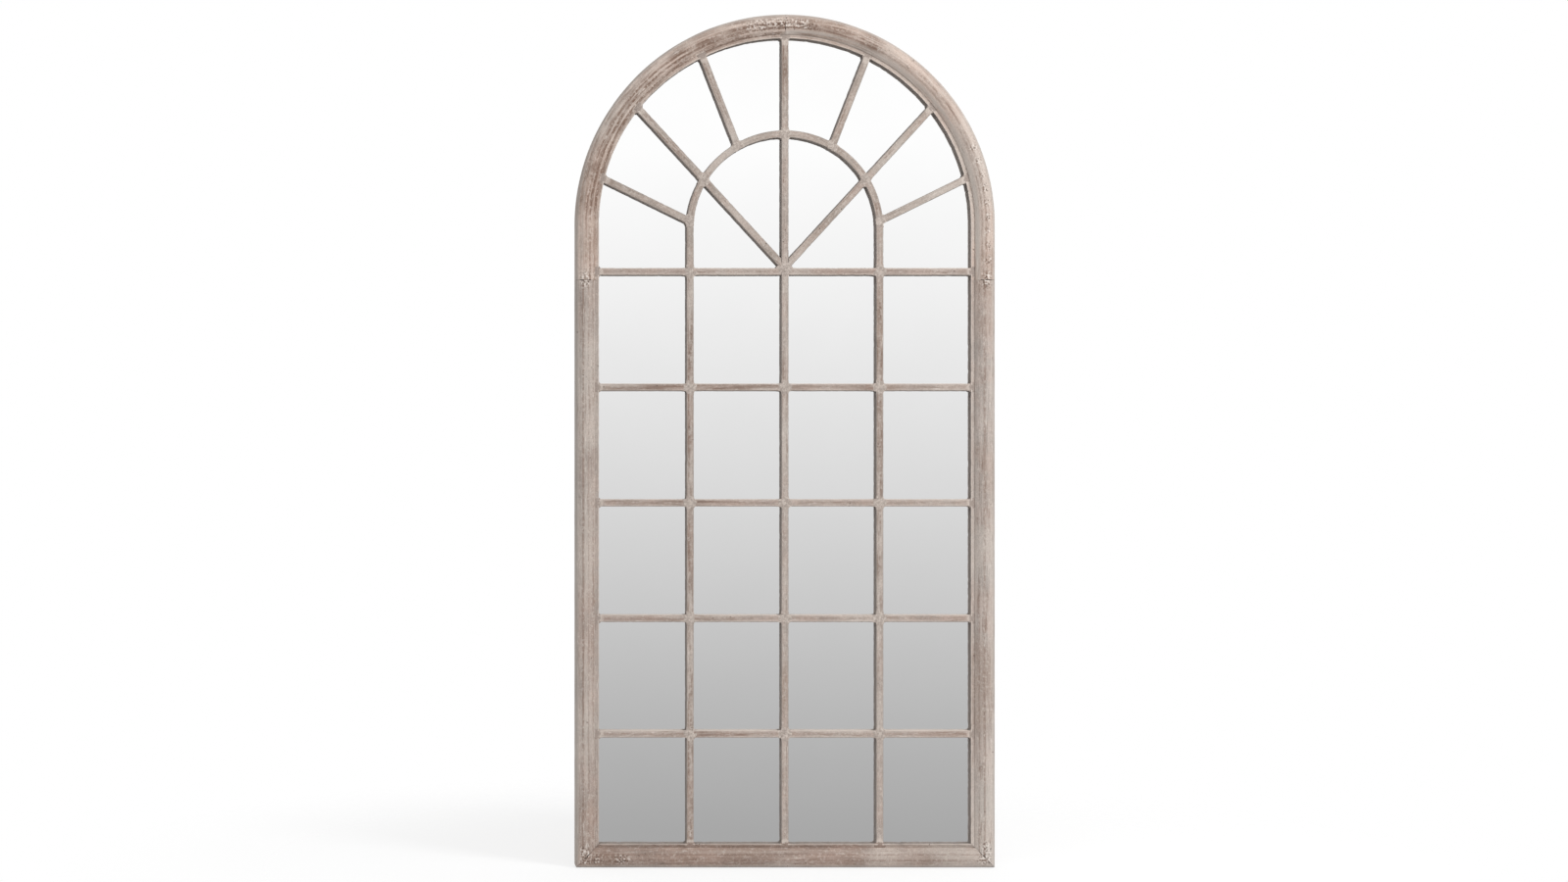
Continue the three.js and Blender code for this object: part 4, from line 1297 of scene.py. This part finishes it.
class BuildHangers(MirrorOperator):
    """Models one strap with its rolled end and the ring that turns in it, and sets them on both sides"""

    bl_idname = "window_mirror.hangers"
    bl_label = "Hangers"

    def ring(self):
        """The ring's wire on the middle line."""
        low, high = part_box("hanger_ring_left")
        wire = (high.y - low.y) / 2
        axis_y, axis_z = (high.y + low.y) / 2, high.z - wire
        half = (high.x - low.x) / 2 - wire
        drop = axis_z - (low.z + wire) - half
        turn = 1.4 * wire
        deselect()
        bpy.ops.mesh.primitive_circle_add(
            vertices=14, radius=wire, fill_type="NGON", rotation=(0, math.pi / 2, 0)
        )
        piece = bpy.context.object
        piece.name = piece.data.name = "ring_pattern"
        bpy.ops.object.transform_apply(rotation=True)
        bpy.ops.object.mode_set(mode="EDIT")
        bpy.ops.mesh.select_all(action="SELECT")
        lengthen(piece, RIGHT, half - turn, 2 * MM)
        self.turn(7, math.pi / 2, (half - turn, 0, -turn))
        lengthen(piece, -UP, drop - turn, 2 * MM)
        self.turn(28, math.pi, (0, 0, -drop))
        lengthen(piece, UP, drop - turn, 2 * MM)
        self.turn(7, math.pi / 2, (turn - half, 0, -turn))
        lengthen(piece, RIGHT, half - turn, 2 * MM)
        bpy.ops.mesh.select_all(action="SELECT")
        bpy.ops.mesh.remove_doubles(threshold=0.01 * MM)
        select_faces(piece, lambda centre, normal: abs(normal.x) > 0.9 and centre.length < 0.1 * MM)
        bpy.ops.mesh.delete(type="ONLY_FACE")
        close_up(piece)
        smooth(piece, 45)
        return moved(piece, (0, axis_y, axis_z))

    def turn(self, steps, angle, centre):
        bpy.ops.mesh.spin(steps=steps, angle=-angle, center=centre, axis=(0, 1, 0))

    def strap(self):
        """The strap on the middle line."""
        low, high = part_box("hanger_strap_left")
        ring_low, ring_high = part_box("hanger_ring_left")
        roll = (high.y - low.y) / 2
        axis_y, axis_z = (high.y + low.y) / 2, high.z - roll
        width = high.x - low.x
        sheet = roll - (ring_high.y - ring_low.y) / 2 - FIT
        deselect()
        bpy.ops.mesh.primitive_cylinder_add(
            vertices=36, radius=roll, depth=width, rotation=(0, math.pi / 2, 0),
            location=(0, axis_y, axis_z),
        )
        piece = bpy.context.object
        piece.name = piece.data.name = "strap_pattern"
        bpy.ops.object.transform_apply(rotation=True, location=True)
        self.leaf(piece, (-width / 2, low.y, low.z), (width / 2, low.y + sheet, axis_z))
        bpy.ops.mesh.primitive_cylinder_add(
            vertices=36, radius=roll - sheet, depth=2 * width,
            rotation=(0, math.pi / 2, 0), location=(0, axis_y, axis_z),
        )
        self.combine(piece, bpy.context.object, "DIFFERENCE")
        for i in (1, 2):
            screw_low, screw_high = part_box(f"hanger_screw_left_{i}")
            place = (0, low.y, (screw_low.z + screw_high.z) / 2)
            bpy.ops.mesh.primitive_cylinder_add(
                vertices=24, radius=(screw_high.x - screw_low.x) / 4 + FIT, depth=20 * MM,
                rotation=(math.pi / 2, 0, 0), location=place,
            )
            self.combine(piece, bpy.context.object, "DIFFERENCE")
        apply_modifier(piece, "BEVEL", width=0.25 * MM, segments=2, limit_method="ANGLE")
        smooth(piece, 35)
        return piece

    def leaf(self, piece, low, high):
        """Joins the strap's flat leaf to its roll."""
        middle = [(a + b) / 2 for a, b in zip(low, high)]
        deselect()
        bpy.ops.mesh.primitive_cube_add(size=1, location=middle)
        block = bpy.context.object
        block.scale = [b - a for a, b in zip(low, high)]
        bpy.ops.object.transform_apply(scale=True, location=True)
        self.combine(piece, block, "UNION")

    def combine(self, piece, other, operation):
        activate(other)
        bpy.ops.object.transform_apply(rotation=True, location=True)
        apply_modifier(piece, "BOOLEAN", object=other, operation=operation, solver="EXACT")
        bpy.data.objects.remove(other)

    def execute(self, context):
        for kind, pattern in (("ring", self.ring()), ("strap", self.strap())):
            nodes = [f"hanger_{kind}_{side}" for side in ("left", "right")]
            places = [(f"{node}_steel", (sum(corner.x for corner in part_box(node)) / 2, 0, 0)) for node in nodes]
            for side, node, piece in zip(("left", "right"), nodes, set_out(pattern, places)):
                body = f"ring_{side}" if kind == "ring" else "frame"
                dress(piece, steel_material(), "zinc", body, node)
        return {"FINISHED"}


def steel_material():
    return bpy.data.materials["zinc plated steel"]


class BuildBumperPads(MirrorOperator):
    """Models one felt pad and sets it on both sides low on the back"""

    bl_idname = "window_mirror.bumper_pads"
    bl_label = "Bumper pads"

    def execute(self, context):
        felt = felt_finish(self.colours)
        fuzz = bpy.data.textures.new("felt fuzz", "CLOUDS")
        fuzz.noise_scale = 1.6 * MM
        low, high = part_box("bumper_pad_left")
        middle = Vector((0, (low.y + high.y) / 2, (low.z + high.z) / 2))
        deselect()
        bpy.ops.mesh.primitive_cylinder_add(
            vertices=64, radius=(high.x - low.x) / 2, depth=high.y - low.y,
            rotation=(math.pi / 2, 0, 0), location=middle,
        )
        pattern = bpy.context.object
        bpy.ops.object.transform_apply(rotation=True, location=True)
        apply_modifier(pattern, "BEVEL", width=1.1 * MM, segments=3, limit_method="ANGLE")
        select_faces(pattern, lambda centre, normal: normal.y > 0.999)
        for scale in (0.86, 0.84, 0.80, 0.74, 0.62, 0.4):
            bpy.ops.mesh.extrude_region_move()
            bpy.ops.transform.resize(value=(scale, 1, scale), center_override=middle)
        close_up(pattern)
        common = {"texture_coords": "LOCAL", "mid_level": 1.0}
        apply_modifier(pattern, "DISPLACE", texture=fuzz, strength=0.5 * MM, **common)
        smooth(pattern, 50)
        nodes = [f"bumper_pad_{side}" for side in ("left", "right")]
        places = [(f"{node}_felt", (sum(corner.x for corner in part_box(node)) / 2, 0, 0)) for node in nodes]
        for node, piece in zip(nodes, set_out(pattern, places)):
            dress(piece, felt, "felt", "frame", node)
        return {"FINISHED"}


class FinishCarriedPieces(MirrorOperator):
    """Finishes the mirror sheet, the backboard and the tongues inside the joints"""

    bl_idname = "window_mirror.carried_pieces"
    bl_label = "Mirror, board and tongues"

    def execute(self, context):
        colours = self.colours
        finishes = {"mirror_sheet": mirror_finish(colours), "backboard": board_finish(colours)}
        tongue = tongue_finish()
        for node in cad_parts:
            if node.startswith("tongue"):
                finishes[node] = tongue
        for node, material in finishes.items():
            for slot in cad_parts[node].material_slots:
                slot.material = material
        return {"FINISHED"}


class BuildStage(MirrorOperator):
    """Sets the floor, the soft lights, the white surroundings and the camera"""

    bl_idname = "window_mirror.stage"
    bl_label = "Stage"

    # The camera stands left of the mirror and looks straight ahead, with its picture shifted.
    CAMERA = Vector((-0.85, -5.1215, 0.85))
    LENS = 54.7
    SHIFT = (0.252, 0.0193)

    # Grey of the surroundings in the mirror, by how steeply a ray climbs.
    BACKDROP = ((-1, 138), (-0.5, 150), (-0.15, 168), (-0.1, 185), (-0.05, 204), (-0.01, 218), (0.075, 242), (0.135, 255))

    def surroundings(self):
        world = bpy.data.worlds.new("studio")
        bpy.context.scene.world = world
        world.use_nodes = True
        tree = world.node_tree
        tree.nodes.clear()
        output = tree.nodes.new("ShaderNodeOutputWorld")
        direction = tree.nodes.new("ShaderNodeTexCoord").outputs["Generated"]
        parts = tree.nodes.new("ShaderNodeSeparateXYZ")
        tree.links.new(direction, parts.inputs[0])
        climb = parts.outputs[2]
        path = tree.nodes.new("ShaderNodeLightPath")

        def graded(stops, low, high):
            spread = tree.nodes.new("ShaderNodeMapRange")
            tree.links.new(climb, spread.inputs[0])
            spread.inputs[1].default_value, spread.inputs[2].default_value = low, high
            ramp = tree.nodes.new("ShaderNodeValToRGB")
            tree.links.new(spread.outputs[0], ramp.inputs[0])
            elements = ramp.color_ramp.elements
            while len(elements) < len(stops):
                elements.new(0.5)
            for element, (place, level) in zip(elements, stops):
                element.position = (place - low) / (high - low)
                element.color = (*level, 1)
            return ramp.outputs[0]

        mirror = graded([(place, paint(g, g, g)) for place, g in self.BACKDROP], -1, 1)
        light = graded([(-1, grey(0.50)), (0, grey(0.70)), (1, grey(0.90))], -1, 1)

        def choose(switch, off, on):
            node = tree.nodes.new("ShaderNodeMix")
            node.data_type = "RGBA"
            tree.links.new(switch, node.inputs[0])
            for socket, value in ((node.inputs[6], off), (node.inputs[7], on)):
                if isinstance(value, bpy.types.NodeSocket):
                    tree.links.new(value, socket)
                else:
                    socket.default_value = (*value, 1)
            return node.outputs[2]

        colour = choose(path.outputs["Is Glossy Ray"], light, mirror)
        colour = choose(path.outputs["Is Transmission Ray"], colour, grey(1.0))
        colour = choose(path.outputs["Is Camera Ray"], colour, grey(1.0))
        background = tree.nodes.new("ShaderNodeBackground")
        tree.links.new(colour, background.inputs[0])
        tree.links.new(background.outputs[0], output.inputs[0])

    def floor(self):
        """A pale floor that keeps the shadow and fades into the white around it."""
        deselect()
        bpy.ops.mesh.primitive_plane_add(size=6)
        piece = bpy.context.object
        piece.name = "floor"
        piece.visible_glossy = False
        material = bpy.data.materials.new("pale floor")
        material.use_nodes = True
        tree = material.node_tree
        tree.nodes.clear()
        output = tree.nodes.new("ShaderNodeOutputMaterial")
        pale = tree.nodes.new("ShaderNodeBsdfDiffuse")
        pale.inputs[0].default_value = (*self.colours.floor, 1)
        white = tree.nodes.new("ShaderNodeEmission")
        white.inputs[0].default_value = (1, 1, 1, 1)
        path = tree.nodes.new("ShaderNodeLightPath")
        share = tree.nodes.new("ShaderNodeMath")
        share.operation = "MULTIPLY"
        share.inputs[1].default_value = 0.7
        tree.links.new(path.outputs["Is Camera Ray"], share.inputs[0])
        lit = tree.nodes.new("ShaderNodeMixShader")
        tree.links.new(share.outputs[0], lit.inputs[0])
        tree.links.new(pale.outputs[0], lit.inputs[1])
        tree.links.new(white.outputs[0], lit.inputs[2])
        place = tree.nodes.new("ShaderNodeTexCoord")
        distance = tree.nodes.new("ShaderNodeVectorMath")
        distance.operation = "LENGTH"
        tree.links.new(place.outputs["Object"], distance.inputs[0])
        fade = tree.nodes.new("ShaderNodeMapRange")
        fade.interpolation_type = "SMOOTHSTEP"
        tree.links.new(distance.outputs["Value"], fade.inputs[0])
        fade.inputs[1].default_value, fade.inputs[2].default_value = 0.7, 1.6
        clear = tree.nodes.new("ShaderNodeBsdfTransparent")
        faded = tree.nodes.new("ShaderNodeMixShader")
        tree.links.new(fade.outputs[0], faded.inputs[0])
        tree.links.new(lit.outputs[0], faded.inputs[1])
        tree.links.new(clear.outputs[0], faded.inputs[2])
        tree.links.new(faded.outputs[0], output.inputs[0])
        piece.data.materials.append(material)

    def lamp(self, name, place, aim, size, power):
        data = bpy.data.lights.new(name, "AREA")
        data.size, data.energy = size, power
        lamp = bpy.data.objects.new(name, data)
        bpy.context.scene.collection.objects.link(lamp)
        lamp.location = place
        lamp.rotation_euler = (Vector(aim) - Vector(place)).to_track_quat("-Z", "Y").to_euler()
        lamp.visible_glossy = lamp.visible_camera = False

    def execute(self, context):
        scene = bpy.context.scene
        scene.view_settings.view_transform = "Standard"
        self.surroundings()
        self.floor()
        self.lamp("soft light above", (2.3, -2.3, 3.0), (0, 0, 1.0), 1.3, 92)
        data = bpy.data.cameras.new("camera")
        data.lens = self.LENS
        data.shift_x, data.shift_y = self.SHIFT
        camera = bpy.data.objects.new("camera", data)
        scene.collection.objects.link(camera)
        camera.location = self.CAMERA
        camera.rotation_euler = (math.pi / 2, 0, 0)
        scene.camera = camera
        return {"FINISHED"}


class WindowMirrorPanel(bpy.types.Panel):
    """The mirror's pieces, sizes and colours"""

    bl_idname = "VIEW3D_PT_window_mirror"
    bl_label = "Window Mirror"
    bl_space_type = "VIEW_3D"
    bl_region_type = "UI"
    bl_category = "Window Mirror"

    def draw(self, context):
        for operator in OPERATORS:
            self.layout.operator(operator.bl_idname)
        for group in (context.scene.mirror_sizes, context.scene.mirror_colours):
            column = self.layout.column(align=True)
            for name in group.__annotations__:
                column.prop(group, name)


OPERATORS = (
    BuildStage,
    BuildFrameMoulding,
    BuildGlazingBars,
    BuildFan,
    BuildJointFiller,
    BuildScrews,
    BuildHangers,
    BuildBumperPads,
    FinishCarriedPieces,
)
CLASSES = (MirrorSizes, MirrorColours, *OPERATORS, WindowMirrorPanel)


def register():
    for item in CLASSES:
        bpy.utils.register_class(item)
    bpy.types.Scene.mirror_sizes = PointerProperty(type=MirrorSizes)
    bpy.types.Scene.mirror_colours = PointerProperty(type=MirrorColours)


def unregister():
    del bpy.types.Scene.mirror_sizes
    del bpy.types.Scene.mirror_colours
    for item in reversed(CLASSES):
        bpy.utils.unregister_class(item)


def main():
    register()
    bpy.ops.window_mirror.stage()
    bpy.ops.window_mirror.frame_moulding()
    bpy.ops.window_mirror.glazing_bars()
    bpy.ops.window_mirror.fan()
    bpy.ops.window_mirror.joint_filler()
    bpy.ops.window_mirror.screws()
    bpy.ops.window_mirror.hangers()
    bpy.ops.window_mirror.bumper_pads()
    bpy.ops.window_mirror.carried_pieces()


if __name__ == "__main__":
    main()
